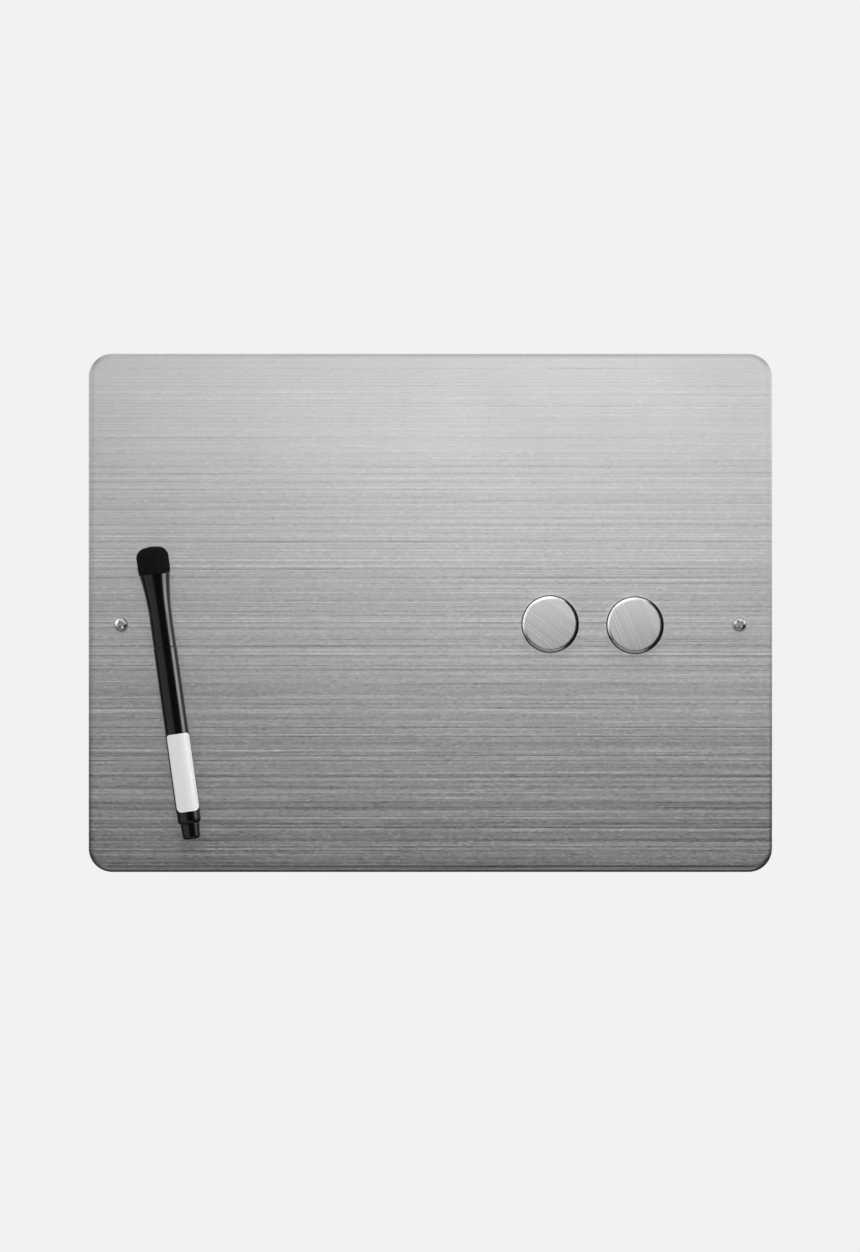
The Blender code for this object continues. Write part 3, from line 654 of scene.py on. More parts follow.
def handling_group():
    """Faint smudges and hairline scratches, as a mask that lifts the roughness."""
    inputs = [("Vector", VECTOR, None), ("Scale", FLOAT, 60.0), ("Amount", FLOAT, 0.5)]
    tree, given, result = new_group("handling_marks", inputs, [("Mask", FLOAT)])
    place = scaled(tree, given["Vector"], given["Scale"])
    clouds = noise_at(tree, place, detail=4.0, roughness=0.55, offset=7.0)
    smudges = ranged(tree, clouds, FADE_IN, SMUDGE_LEVELS)
    lines = noise_at(tree, stretched(tree, place, HAIRLINE_STRETCH), scale=3.0, detail=1.0, offset=29.0)
    hairlines = ranged(tree, lines, FADE_IN, HAIRLINE_LEVELS)
    smudges = maths(tree, "MULTIPLY", smudges, SMUDGE_WEIGHT)
    hairlines = maths(tree, "MULTIPLY", hairlines, HAIRLINE_WEIGHT)
    both = maths(tree, "ADD", smudges, hairlines, clamp=True)
    connect(tree, result, mask=maths(tree, "MULTIPLY", both, given["Amount"]))
    return tree


# How far a full contrast swings the tone of the fine grain and of the fibres
GRAIN_GAIN = 4.0
FIBRE_GAIN = 2.0


def fine_grain_group():
    """The slight unevenness of a moulded or pressed surface, as a tone and a normal."""
    inputs = [
        ("Vector", VECTOR, None), ("Scale", FLOAT, 900.0), ("Contrast", FLOAT, 0.1),
        ("Strength", FLOAT, 0.3), ("Depth", FLOAT, 0.00005),
    ]
    tree, given, result = new_group("fine_grain", inputs, [("Tone", FLOAT), ("Normal", VECTOR)])
    place = scaled(tree, given["Vector"], given["Scale"])
    grain = noise_at(tree, place, detail=3.0, roughness=0.6, offset=11.0)
    connect(
        tree, result, tone=swinging(tree, grain, given["Contrast"], GRAIN_GAIN),
        normal=relief(tree, grain, given["Strength"], given["Depth"]),
    )
    return tree


# Matted fibres: the turn and the place in the noise of each lay, the axis that the lays turn about, how
# drawn out a fibre is, and the noise levels at which fibres show
FIBRE_LAYS = ((0.4, 3.0), (1.5, 13.0), (2.6, 23.0))
FIBRE_AXIS = (0.3, 0.8, 0.5)
FIBRE_STRETCH = (0.16, 1.0, 1.0)
FIBRE_LEVELS = (0.45, 0.72)


def fibre_group():
    """Short matted fibres lying every way, as a mask, a tone and a normal."""
    inputs = [
        ("Vector", VECTOR, None), ("Scale", FLOAT, 500.0), ("Contrast", FLOAT, 0.3),
        ("Strength", FLOAT, 0.6), ("Depth", FLOAT, 0.0002),
    ]
    outputs = [("Mask", FLOAT), ("Tone", FLOAT), ("Normal", VECTOR)]
    tree, given, result = new_group("matted_fibres", inputs, outputs)
    place = scaled(tree, given["Vector"], given["Scale"])
    layers = []
    for turn, offset in FIBRE_LAYS:
        values = {"Vector": place, "Angle": turn, "Axis": FIBRE_AXIS}
        lay = node(tree, "ShaderNodeVectorRotate", values).outputs[0]
        layers.append(noise_at(tree, stretched(tree, lay, FIBRE_STRETCH), roughness=0.6, offset=offset))
    woven = layers[0]
    for layer in layers[1:]:
        woven = maths(tree, "MAXIMUM", woven, layer)
    mask = ranged(tree, woven, FADE_IN, FIBRE_LEVELS)
    connect(
        tree, result, mask=mask, tone=swinging(tree, mask, given["Contrast"], FIBRE_GAIN),
        normal=relief(tree, woven, given["Strength"], given["Depth"]),
    )
    return tree


GROUP_BUILDERS = {
    "brushed_grain": brushed_grain_group,
    "handling_marks": handling_group,
    "fine_grain": fine_grain_group,
    "matted_fibres": fibre_group,
}


def place_group(tree, name, values):
    """Put a shared effect into a material, building it the first time, and give its outputs."""
    group = bpy.data.node_groups.get(name) or GROUP_BUILDERS[name]()
    return node(tree, "ShaderNodeGroup", values, node_tree=group).outputs


# Finishes

def new_material(name, **plain):
    """A material with a Principled surface, its plain sockets set, and its texture coordinates."""
    made = bpy.data.materials.new(name)
    made.use_nodes = True
    tree = made.node_tree
    shader = tree.nodes["Principled BSDF"]
    for key, value in plain.items():
        shader.inputs[key.replace("_", " ").title().replace("Ior", "IOR")].default_value = value
    return made, tree, shader, node(tree, "ShaderNodeTexCoord").outputs


def tinted(tree, base, tone):
    """A colour made lighter or darker by a tone."""
    return scaled(tree, tuple(base), tone)


def object_direction(tree, x, y, z):
    """A direction fixed to the object, as the tangent that brushing follows."""
    fixed = vector_of(tree, x, y, z)
    turned_with = node(
        tree, "ShaderNodeVectorTransform", {0: fixed},
        vector_type="VECTOR", convert_from="OBJECT", convert_to="WORLD",
    )
    return turned_with.outputs[0]


def burnished(tree, rough, smooth, mask):
    """A roughness that drops where a mask marks steel burnished by its tool."""
    return node(tree, "ShaderNodeMix", {0: mask, 2: rough, 3: smooth}).outputs[0]


# The board's steel: the contrast of its streaks at the foot and at the head, its roughness from groove to
# ridge, and the smoother roll along its foot: how high above the foot it fades, and how far from the sides
BOARD_CONTRAST = (0.085, 0.028)
BOARD_ROUGHNESS = (0.38, 0.44)
ROLL_ROUGHNESS = 0.25
ROLL_HEIGHTS = (2.4 * MM, 3.6 * MM)
ROLL_ENDS = (9.0 * MM, 5.0 * MM)


def board_steel(name):
    """Brushed stainless sheet: level streaks that follow the sheet round its rolled edge."""
    made, tree, shader, at = new_material(name, metallic=1.0, anisotropic=0.62)
    place = axes_of(tree, at["Object"])
    tilt = maths(tree, "ABSOLUTE", axes_of(tree, at["Normal"])["Z"])
    unrolled = maths(tree, "ADD", place["Z"], maths(tree, "MULTIPLY", place["Y"], tilt))
    grain = place_group(tree, "brushed_grain", {
        "Vector": vector_of(tree, place["X"], place["Y"], unrolled), "Along": 5.0, "Across": 900.0,
        "Contrast": ranged(tree, place["Z"], BOARD_CONTRAST, (TRAY_LOW.z, TRAY_HIGH.z)),
        "Groove": 1.0, "Depth": 0.00007,
    })
    marks = place_group(tree, "handling_marks", {"Vector": at["Object"], "Scale": 18.0, "Amount": 0.05})
    low_roll = ranged(tree, place["Z"], FADE_OUT, [TRAY_LOW.z + height for height in ROLL_HEIGHTS])
    from_middle = maths(tree, "ABSOLUTE", place["X"])
    straight = ranged(tree, from_middle, FADE_OUT, [TRAY_HIGH.x - inset for inset in ROLL_ENDS])
    rough = maths(tree, "ADD", ranged(tree, grain["Mask"], BOARD_ROUGHNESS), marks["Mask"])
    rough = burnished(tree, rough, ROLL_ROUGHNESS, maths(tree, "MULTIPLY", low_roll, straight))
    connect(
        tree, shader, base_color=tinted(tree, settings().finish.board_steel, grain["Tone"]),
        roughness=rough, normal=grain["Normal"], tangent=object_direction(tree, 0, 0, 1),
    )
    return made


# The magnets' steel: its roughness from groove to ridge, that of the bevel and the slopes at which it fades
# into the face, then a painted shade line round the bevel's outer part, darkening the tone where contact
# shadow and dark reflection fall: the depths below the face over which it comes and goes, and the share of
# the tone that it keeps
MAGNET_ROUGHNESS = (0.26, 0.32)
BEVEL_ROUGHNESS = 0.20
BEVEL_SLOPES = (0.90, 0.99)
SHADE_LINE_COMES = (0.56 * MM, 0.74 * MM)
SHADE_LINE_GOES = (1.25 * MM, 1.9 * MM)
SHADE_LINE_TONE = 0.06


def magnet_steel(name, brushing):
    """Brushed steel of a magnet's cup, its marks running one way across the disc, and painted shade round
    its bevel.
    """
    made, tree, shader, at = new_material(name, metallic=1.0, anisotropic=0.4)
    values = {"Vector": at["Object"], "Angle": brushing}
    lay = axes_of(tree, node(tree, "ShaderNodeVectorRotate", values, rotation_type="Z_AXIS").outputs[0])
    grain = place_group(tree, "brushed_grain", {
        "Vector": vector_of(tree, lay["X"], lay["Z"], lay["Y"]), "Along": 40.0, "Across": 2600.0,
        "Contrast": 0.05, "Groove": 0.6, "Depth": 0.00003,
    })
    marks = place_group(tree, "handling_marks", {"Vector": at["Object"], "Scale": 90.0, "Amount": 0.05})
    bevel = ranged(tree, axes_of(tree, at["Normal"])["Z"], FADE_OUT, BEVEL_SLOPES)
    rough = maths(tree, "ADD", ranged(tree, grain["Mask"], MAGNET_ROUGHNESS), marks["Mask"])
    rough = burnished(tree, rough, BEVEL_ROUGHNESS, bevel)
    # Painted shade: the tone drops to a dark line on the bevel's outer part, where contact shadow and dark
    # reflection fall
    below = maths(tree, "SUBTRACT", MAGNET_DEPTH, axes_of(tree, at["Object"])["Z"])
    comes = ranged(tree, below, FADE_IN, SHADE_LINE_COMES)
    painted_shade_line = maths(tree, "MULTIPLY", comes, ranged(tree, below, FADE_OUT, SHADE_LINE_GOES))
    tone = maths(tree, "MULTIPLY", grain["Tone"], ranged(tree, painted_shade_line, (1.0, SHADE_LINE_TONE)))
    connect(
        tree, shader, base_color=tinted(tree, settings().finish.magnet_steel, tone),
        roughness=rough, normal=grain["Normal"],
        tangent=object_direction(tree, math.sin(brushing), math.cos(brushing), 0),
    )
    return made


def left_magnet_steel(name):
    """The left magnet's brushed steel."""
    return magnet_steel(name, settings().magnets.left_brushing)


def right_magnet_steel(name):
    """The right magnet's brushed steel."""
    return magnet_steel(name, settings().magnets.right_brushing)


# Hardboard: the noise levels of its flecks of bark and their tone, the levels and tones of its clouds, and
# its roughness between and on the fibres
FLECK_LEVELS = (0.66, 0.72)
FLECK_TONES = (1.0, 0.45)
CLOUD_LEVELS = (0.3, 0.7)
CLOUD_TONES = (0.85, 1.15)
HARDBOARD_ROUGHNESS = (0.62, 0.85)


def hardboard(name):
    """Brown pressed hardboard with darker flecks of bark."""
    made, tree, shader, at = new_material(name)
    fibres = place_group(tree, "matted_fibres", {
        "Vector": at["Object"], "Scale": 420.0, "Contrast": 0.28, "Strength": 0.35, "Depth": 0.0002,
    })
    clouds = noise_at(tree, at["Object"], scale=22.0, detail=3.0, offset=5.0)
    clouds = ranged(tree, clouds, CLOUD_TONES, CLOUD_LEVELS)
    flecks = noise_at(tree, at["Object"], scale=700.0, detail=1.0, offset=19.0)
    flecks = ranged(tree, flecks, FLECK_TONES, FLECK_LEVELS)
    tone = maths(tree, "MULTIPLY", maths(tree, "MULTIPLY", fibres["Tone"], flecks), clouds)
    connect(
        tree, shader, base_color=tinted(tree, settings().finish.hardboard, tone),
        roughness=ranged(tree, fibres["Mask"], HARDBOARD_ROUGHNESS), normal=fibres["Normal"],
    )
    return made


# Foam: its cells to the metre, and the tone from a cell's middle to its wall
FOAM_CELLS = 1500.0
CELL_LEVELS = (0.1, 0.8)
CELL_TONES = (0.55, 1.5)


def pad_foam(name):
    """Closed-cell foam: dark, with its small cells cut open."""
    made, tree, shader, at = new_material(name, roughness=0.95)
    cells = node(tree, "ShaderNodeTexVoronoi", {"Vector": at["Object"], "Scale": FOAM_CELLS})
    depth = cells.outputs["Distance"]
    tone = ranged(tree, depth, CELL_TONES, CELL_LEVELS)
    connect(
        tree, shader, base_color=tinted(tree, settings().finish.foam, tone),
        normal=relief(tree, depth, strength=0.6, depth=0.2 * MM),
    )
    return made


def grained(name, base, roughness, grain, marks, **plain):
    """A finish with a fine grain and marks of handling, given as values of the two shared effects."""
    made, tree, shader, at = new_material(name, **plain)
    grain = place_group(tree, "fine_grain", {"Vector": at["Object"], **grain})
    marks = place_group(tree, "handling_marks", {"Vector": at["Object"], **marks})
    connect(
        tree, shader, base_color=tinted(tree, base, grain["Tone"]),
        roughness=maths(tree, "ADD", roughness, marks["Mask"]), normal=grain["Normal"],
    )
    return made


def screw_steel(name):
    """Bright screw steel with drawn marks and driver scuffs."""
    return grained(
        name, settings().finish.screw_steel, roughness=0.16, metallic=1.0,
        grain={"Scale": 1800.0, "Contrast": 0.10, "Strength": 0.2, "Depth": 0.00002},
        marks={"Scale": 400.0, "Amount": 0.175},
    )


def gloss_plastic(name):
    """Gloss black moulding with a faint skin and finger smudges."""
    return grained(
        name, settings().finish.black_plastic, roughness=0.20,
        grain={"Scale": 420.0, "Contrast": 0.12, "Strength": 0.10, "Depth": 0.00003},
        marks={"Scale": 120.0, "Amount": 0.10},
    )


def label_film(name):
    """Satin white film, bare, with the faint grain of printed stock."""
    return grained(
        name, settings().finish.label, roughness=0.32,
        grain={"Scale": 2500.0, "Contrast": 0.03, "Strength": 0.12, "Depth": 0.00002},
        marks={"Scale": 160.0, "Amount": 0.15},
    )


def moulded(name, base, roughness, scale, contrast):
    """A plain moulded or pressed finish, with a fine grain of its own."""
    return grained(
        name, base, roughness=roughness,
        grain={"Scale": scale, "Contrast": contrast, "Strength": 0.25, "Depth": 0.00006},
        marks={"Scale": 150.0, "Amount": 0.12},
    )


def nylon(name):
    """Satin nylon of the spacers and anchors."""
    return moulded(name, settings().finish.nylon, roughness=0.42, scale=700.0, contrast=0.08)


def ferrite(name):
    """Ground ferrite of the magnet discs, matt and grainy."""
    return moulded(name, settings().finish.ferrite, roughness=0.5, scale=1500.0, contrast=0.2)


def rubber(name):
    """Matt sheet rubber of the magnets' liners."""
    return moulded(name, settings().finish.rubber, roughness=0.75, scale=1100.0, contrast=0.15)


def seal_plastic(name):
    """Natural polyethylene of the seal in the cap."""
    return moulded(name, settings().finish.seal, roughness=0.35, scale=500.0, contrast=0.08)


def fibrous(name, base, fibres, **plain):
    """A finish of matted fibre, darker between its fibres."""
    made, tree, shader, at = new_material(name, **plain)
    fibres = place_group(tree, "matted_fibres", {"Vector": at["Object"], **fibres})
    connect(tree, shader, base_color=tinted(tree, base, fibres["Tone"]), normal=fibres["Normal"])
    return made


def felt(name):
    """Pressed black felt of the eraser."""
    fibres = {"Scale": 2200.0, "Contrast": 0.5, "Strength": 0.7, "Depth": 0.0002}
    return fibrous(name, settings().finish.felt, fibres, roughness=1.0, specular_ior_level=0.15)


def fibre_rod(name, scale):
    """Bonded fibre, soaked with ink."""
    fibres = {"Scale": scale, "Contrast": 0.4, "Strength": 0.5, "Depth": 0.0001}
    return fibrous(name, settings().finish.ink, fibres, roughness=0.85)


def nib_fibre(name):
    """The fine bonded fibre of the nib."""
    return fibre_rod(name, scale=3000.0)


def core_fibre(name):
    """The coarser bonded fibre of the ink reservoir."""
    return fibre_rod(name, scale=1200.0)


# How each finish is made.
FINISH_MAKERS = {
    "brushed_board_steel": board_steel,
    "brushed_magnet_steel_left": left_magnet_steel,
    "brushed_magnet_steel_right": right_magnet_steel,
    "hardboard_fibre": hardboard,
    "closed_cell_foam": pad_foam,
    "bright_screw_steel": screw_steel,
    "gloss_black_plastic": gloss_plastic,
    "white_label_film": label_film,
    "moulded_nylon": nylon,
    "ground_ferrite": ferrite,
    "sheet_rubber": rubber,
    "seal_polyethylene": seal_plastic,
    "black_felt": felt,
    "inked_nib": nib_fibre,
    "inked_core": core_fibre,
}


def finish(name):
    """A finish by name, made the first time that it is asked for."""
    return bpy.data.materials.get(name) or FINISH_MAKERS[name](name)


# Operators

class PieceOperator:
    """What every operator here shares."""

    bl_options = {"REGISTER", "UNDO"}


class WHITEBOARD_OT_tray(PieceOperator, bpy.types.Operator):
    """Press the steel tray with its rolled edge and screw holes"""

    bl_idname = "whiteboard.tray"
    bl_label = "Steel Tray"

    def execute(self, context):
        sizes = settings().tray
        face = TRAY_LOW.y
        rim = TRAY_HIGH.y
        bend_centre = (sizes.bend_radius, face + sizes.bend_radius)
        outer = arc(bend_centre, sizes.bend_radius, 3, 2, BEND_STEPS)
        inner = arc(bend_centre, sizes.bend_radius - sizes.sheet, 2, 3, BEND_STEPS)
        rim_points = softened([outer[-1], (0, rim), (sizes.sheet, rim), inner[0]], sizes.rim_round)
        margin = sizes.bend_radius + sizes.sheet
        profile = [(margin, face)] + outer[:-1] + rim_points + inner[1:] + [(margin, face + sizes.sheet)]
        tray = pressed(
            profile, TRAY_HIGH.x - TRAY_LOW.x, TRAY_HIGH.z - TRAY_LOW.z, sizes.corner_radius, CORNER_STEPS,
        )
        for side in ("left", "right"):
            tray = cut_away(tray, self.drill(sizes, face, middle(f"screw_{side}")))
        add_piece("steel_tray", tray, "brushed_board_steel", "board", ["face_pan"])
        return {"FINISHED"}

    def drill(self, sizes, face, place):
        """A rod through the sheet, to cut a screw hole."""
        front = face - sizes.sheet
        back = face + 2 * sizes.sheet
        outline = [(0, front), (sizes.hole_radius, front), (sizes.hole_radius, back), (0, back)]
        rod = turned(outline, THREAD_SEGMENTS)
        rod.transform(Matrix.Translation((place.x, 0, place.z)) @ Matrix.Rotation(-QUARTER, 4, "X"))
        return rod


# The foam pads draw in at the waist: by this share of their edges' rounding, over this part of their depth
PAD_WAIST = 0.35
PAD_WAIST_PARTS = (0.35, 0.65)


class WHITEBOARD_OT_backing(PieceOperator, bpy.types.Operator):
    """Finish the stiffener and set the foam pads behind it"""

    bl_idname = "whiteboard.backing"
    bl_label = "Stiffener and Pads"

    def execute(self, context):
        sizes = settings().fixings
        dress("stiffener_panel", "hardboard_fibre")
        for corner in ("top_left", "top_right", "bottom_left", "bottom_right"):
            low, high = box_corners(f"foam_pad_{corner}")
            centre = middle(f"foam_pad_{corner}")
            pad = add_piece(
                f"soft_pad_{corner}", self.pad(sizes, high.x - low.x, high.y - low.y), "closed_cell_foam",
                "board", [f"foam_pad_{corner}"],
                Matrix.Translation((centre.x, low.y, centre.z)),
            )
        return {"FINISHED"}

    def pad(self, sizes, side, depth):
        """A square pad with soft edges and a slight waist."""
        soft = sizes.pad_edge
        profile = [(soft * 2, 0)] + arc((soft, soft), soft, 3, 2, ARC_STEPS)
        profile += [(soft * PAD_WAIST, depth * part) for part in PAD_WAIST_PARTS]
        profile += arc((soft, depth - soft), soft, 2, 1, ARC_STEPS) + [(soft * 2, depth)]
        return pressed(profile, side, side, sizes.pad_corner, ARC_STEPS, least_corner=soft)


# The screws: how far down their plain neck reaches, in head heights, the broken edge under the head, the
# half width of the thread's ridge, in pitches, and the least share of its radius that the tip keeps
NECK_REACH = 1.25
HEAD_EDGE_ACROSS = 0.15 * MM
HEAD_EDGE_UP = 0.1 * MM
RIDGE_HALF_WIDTH = 0.26
TIP_SHARE = 0.06

# The cross recess: its width at its foot, higher up and above the head, as shares of the full width, how
# deep the middle one lies, as a share of the depth, and how far the cut overruns the head
RECESS_FOOT = 0.5
RECESS_SIDE = 0.9
RECESS_MOUTH = 1.1
RECESS_SIDE_DEPTH = 0.6
RECESS_OVERRUN = 1 * MM


class WHITEBOARD_OT_fixings(PieceOperator, bpy.types.Operator):
    """Turn the screws with thread and cross recess, and finish the spacers and anchors"""

    bl_idname = "whiteboard.fixings"
    bl_label = "Wall Fixings"

    def execute(self, context):
        sizes = settings().fixings
        for side, turn in (("left", sizes.left_turn), ("right", sizes.right_turn)):
            low, high = box_corners(f"screw_{side}")
            centre = middle(f"screw_{side}")
            screw = self.shaped_screw(sizes, (high.x - low.x) / 2, high.y - low.y)
            screw = cut_away(screw, self.recess(sizes, turn))
            add_piece(
                f"threaded_screw_{side}", screw, "bright_screw_steel", "board",
                [f"screw_{side}"], facing_out((centre.x, low.y, centre.z)),
            )
            for part in ("spacer", "wall_anchor"):
                dress(f"{part}_{side}", "moulded_nylon")
        return {"FINISHED"}

    def shaped_screw(self, sizes, head_radius, whole):
        """The screw with its top at zero: domed head, threaded shank and tapering tip."""
        rise = sizes.head_height - sizes.head_side
        run = head_radius - sizes.head_flat
        dome = [
            (sizes.head_flat + run * x, -rise + rise * z) for x, z in arc((0, 0), 1, 1, 0, 2 * ARC_STEPS)
        ]
        neck = sizes.head_height * NECK_REACH
        outline = [(0, 0)] + dome + [
            (head_radius, -sizes.head_height + HEAD_EDGE_UP),
            (head_radius - HEAD_EDGE_ACROSS, -sizes.head_height),
            (sizes.thread_crest, -sizes.head_height), (sizes.thread_root, -neck),
        ]
        rings = int((whole - neck) / sizes.thread_pitch * THREAD_RINGS_PER_TURN)
        for ring in range(1, rings):
            outline.append((sizes.thread_root, -neck - (whole - neck) * ring / rings))
        outline += [(sizes.tip_radius, -whole), (0, -whole)]

        def reach(radius, height, angle):
            """The thread's ridge on the shank, dying out at the neck and the tip."""
            if height > -neck - TINY or radius < sizes.thread_root - TINY:
                return radius
            taper = min(1.0, max((whole + height) / sizes.tip_length, TIP_SHARE))
            fade = min(1.0, (-neck - height) / sizes.thread_pitch)
            phase = (height / sizes.thread_pitch + angle / math.tau) % 1.0
            ridge = max(0.0, 1 - abs(phase - 0.5) / RIDGE_HALF_WIDTH)
            return (radius + (sizes.thread_crest - sizes.thread_root) * ridge * fade) * taper

        return turned(outline, THREAD_SEGMENTS, reach=reach)

    def recess(self, sizes, turn):
        """A tapered cross to cut out of the head."""
        sections = []
        for part, height in (
            (RECESS_FOOT, -sizes.recess_depth),
            (RECESS_SIDE, -sizes.recess_depth * RECESS_SIDE_DEPTH),
            (RECESS_MOUTH, RECESS_OVERRUN),
        ):
            reach = sizes.recess_span / 2 * part
            half = sizes.recess_arm / 2 * part
            ring = []
            for quarter in range(4):
                spin = Matrix.Rotation(turn + quarter * QUARTER, 3, "Z")
                for x, y in ((reach, -half), (reach, half), (half, half)):
                    ring.append(spin @ Vector((x, y, height)))
            sections.append(ring)
        return skin(sections)


# How flat the magnets' bevel is: 1 is a quarter ellipse and 2 a straight chamfer
BEVEL_POWER = 1.4


class WHITEBOARD_OT_magnets(PieceOperator, bpy.types.Operator):
    """Draw the two steel cups and finish the discs and liners in them"""

    bl_idname = "whiteboard.magnets"
    bl_label = "Round Magnets"

    def execute(self, context):
        sizes = settings().magnets
        for side in ("left", "right"):
            low, high = box_corners(f"magnet_{side}_cup")
            centre = middle(f"magnet_{side}_cup")
            add_piece(
                f"steel_cup_{side}", self.cup(sizes, (high.x - low.x) / 2, high.y - low.y),
                f"brushed_magnet_steel_{side}", f"magnet_{side}",
                [f"magnet_{side}_cup"], facing_out((centre.x, high.y, centre.z)),
            )
            dress(f"magnet_{side}_core", "ground_ferrite")
            dress(f"magnet_{side}_liner", "sheet_rubber")
        dress("cap_magnet", "ground_ferrite")
        return {"FINISHED"}

    def cup(self, sizes, radius, depth):
        """A round cup, open to the board, with a bevel round its face."""
        inner = radius - sizes.wall
        floor = depth - sizes.wall
        flat = radius - sizes.bevel_width
        bevel = []
        for step in range(BEVEL_STEPS + 1):
            angle = QUARTER * (1 - step / BEVEL_STEPS)
            out = sizes.bevel_width * math.cos(angle) ** BEVEL_POWER
            drop = sizes.bevel_depth * (1 - math.sin(angle) ** BEVEL_POWER)
            bevel.append((flat + out, depth - drop))
        wall = softened(
            [bevel[-1], (radius, 0), (inner, 0), (inner, floor), (0, floor)], sizes.rim_round,
        )
        return turned([(0, depth)] + bevel + wall[1:], MAGNET_SEGMENTS)


def add_marker_piece(name, outline, finish_name, body, slot_name, node_name, **turning):
    """A turned piece on the marker's axis."""
    bm = turned(outline, **turning)
    return add_piece(name, bm, finish_name, body, [node_name], MARKER_MATRIX)


# Rounding of the marker's moulded edges
CAP_LIP_ROUND = 0.25 * MM
CAP_HEAD_ROUND = 0.3 * MM
BARREL_MOUTH_ROUND = 0.15 * MM
INSERT_ROUND = 0.2 * MM


class WHITEBOARD_OT_cap(PieceOperator, bpy.types.Operator):
    """Turn the flared cap and finish what it holds"""

    bl_idname = "whiteboard.cap"
    bl_label = "Marker Cap"

    def execute(self, context):
        sizes = settings().marker
        head, flange = on_marker("marker_cap")[1:]
        foot = on_marker("marker_barrel")[1] + sizes.seam
        flare = self.flare(sizes, head, flange)
        bore_head = on_marker("cap_seal")[1] + sizes.inner_gap
        pocket_foot = on_marker("cap_magnet")[0] - sizes.inner_gap
        bore = [(0, bore_head), (sizes.cap_bore, bore_head)]
        lip = softened([(sizes.cap_bore, foot), (sizes.lip_radius, foot), flare[0]], CAP_LIP_ROUND)
        top = softened([
            flare[-1], (flange - sizes.head_draw, head), (sizes.cap_pocket, head),
            (sizes.cap_pocket, pocket_foot), (0, pocket_foot),
        ], CAP_HEAD_ROUND)
        outline = bore + lip + flare[1:-1] + top
        add_marker_piece(
            "flared_cap", outline, "gloss_black_plastic", "cap", "marker_plastic", "marker_cap",
        )
        dress("eraser_holder", "gloss_black_plastic")
        dress("cap_seal", "seal_polyethylene")
        return {"FINISHED"}

    def flare(self, sizes, head, flange):
        """The cap's outer curve, from its straight part to its head."""
        steps = 4 * ARC_STEPS
        points = []
        for step in range(steps + 1):
            part = step / steps
            widening = (flange - sizes.lip_radius) * part ** sizes.flare_power
            rise = (sizes.flare_length - sizes.head_edge) * part
            points.append((sizes.lip_radius + widening, head - sizes.flare_length + rise))
        return points


# The felt's skin wanders slowly and is finely fuzzy: noise to the metre, and how far it moves the skin
FELT_WANDER_SCALE = 220
FELT_WANDER = 0.10 * MM
FELT_FUZZ_SCALE = 1900
FELT_FUZZ = 0.05 * MM

# Points on the felt's crown, as shares of the way out from its middle
CROWN_PARTS = (0.75, 0.5, 0.25)


class WHITEBOARD_OT_eraser(PieceOperator, bpy.types.Operator):
    """Press the felt eraser on the cap's head"""

    bl_idname = "whiteboard.eraser"
    bl_label = "Felt Eraser"

    def execute(self, context):
        sizes = settings().marker
        head, reach = on_marker("felt_eraser")[1:]
        cap_head = on_marker("marker_cap")[1]
        foot = cap_head + sizes.seam
        holder_head, holder_reach = on_marker("eraser_holder")[1:]
        stem_head = holder_head + sizes.inner_gap
        pocket_head = cap_head + sizes.felt_pocket
        pocket_reach = holder_reach + sizes.inner_gap
        widest = reach - FELT_WANDER
        hollow = [
            (0, stem_head), (sizes.felt_bore, stem_head), (sizes.felt_bore, pocket_head),
            (pocket_reach, pocket_head), (pocket_reach, foot),
        ]

        def uneven(radius, height, angle):
            """Felt is never quite round: a slow wander and a fine fuzz on its outer skin."""
            if radius < pocket_reach + TINY and height < stem_head + sizes.inner_gap:
                return radius
            point = Vector((radius * math.cos(angle), radius * math.sin(angle), height))
            slow = noise.noise(point * FELT_WANDER_SCALE) * FELT_WANDER
            fuzz = noise.noise(point * FELT_FUZZ_SCALE) * FELT_FUZZ
            return min(radius + slow + fuzz, reach)

        eraser = add_marker_piece(
            "soft_felt_eraser", hollow + self.outer_skin(sizes, foot, head, widest), "black_felt",
            "cap", "eraser_felt", "felt_eraser", segments=2 * TURNED_SEGMENTS, reach=uneven,
        )
        return {"FINISHED"}

    def outer_skin(self, sizes, foot, head, widest):
        """The felt's outline from its foot, out to its widest, and over its shoulder to the crown."""
        steps = 2 * ARC_STEPS
        foot_reach = widest - sizes.felt_draw
        points = []
        for step in range(steps + 1):
            part = step / steps
            bulge = sizes.felt_draw * math.sin(QUARTER * part)
            points.append((foot_reach + bulge, foot + sizes.felt_side * part))
        shoulder_foot = head - sizes.felt_crown - sizes.felt_shoulder
        points.append((widest, (points[-1][1] + shoulder_foot) / 2))
        centre = (widest - sizes.felt_shoulder, shoulder_foot)
        shoulder = arc(centre, sizes.felt_shoulder, 0, 1, 3 * ARC_STEPS)
        crown_reach = shoulder[-1][0]
        crown = [(crown_reach * part, head - sizes.felt_crown * part ** 2) for part in CROWN_PARTS]
        return points + shoulder + crown + [(0, head)]


# Where the barrel and the tail plug get a supporting point: how far past the barrel's shoulder and past the
# plug's rounding, as a share of each, and how far the plug has widened there
PAST_ROUNDING = 1.2
PLUG_WIDENING = 0.02 * MM


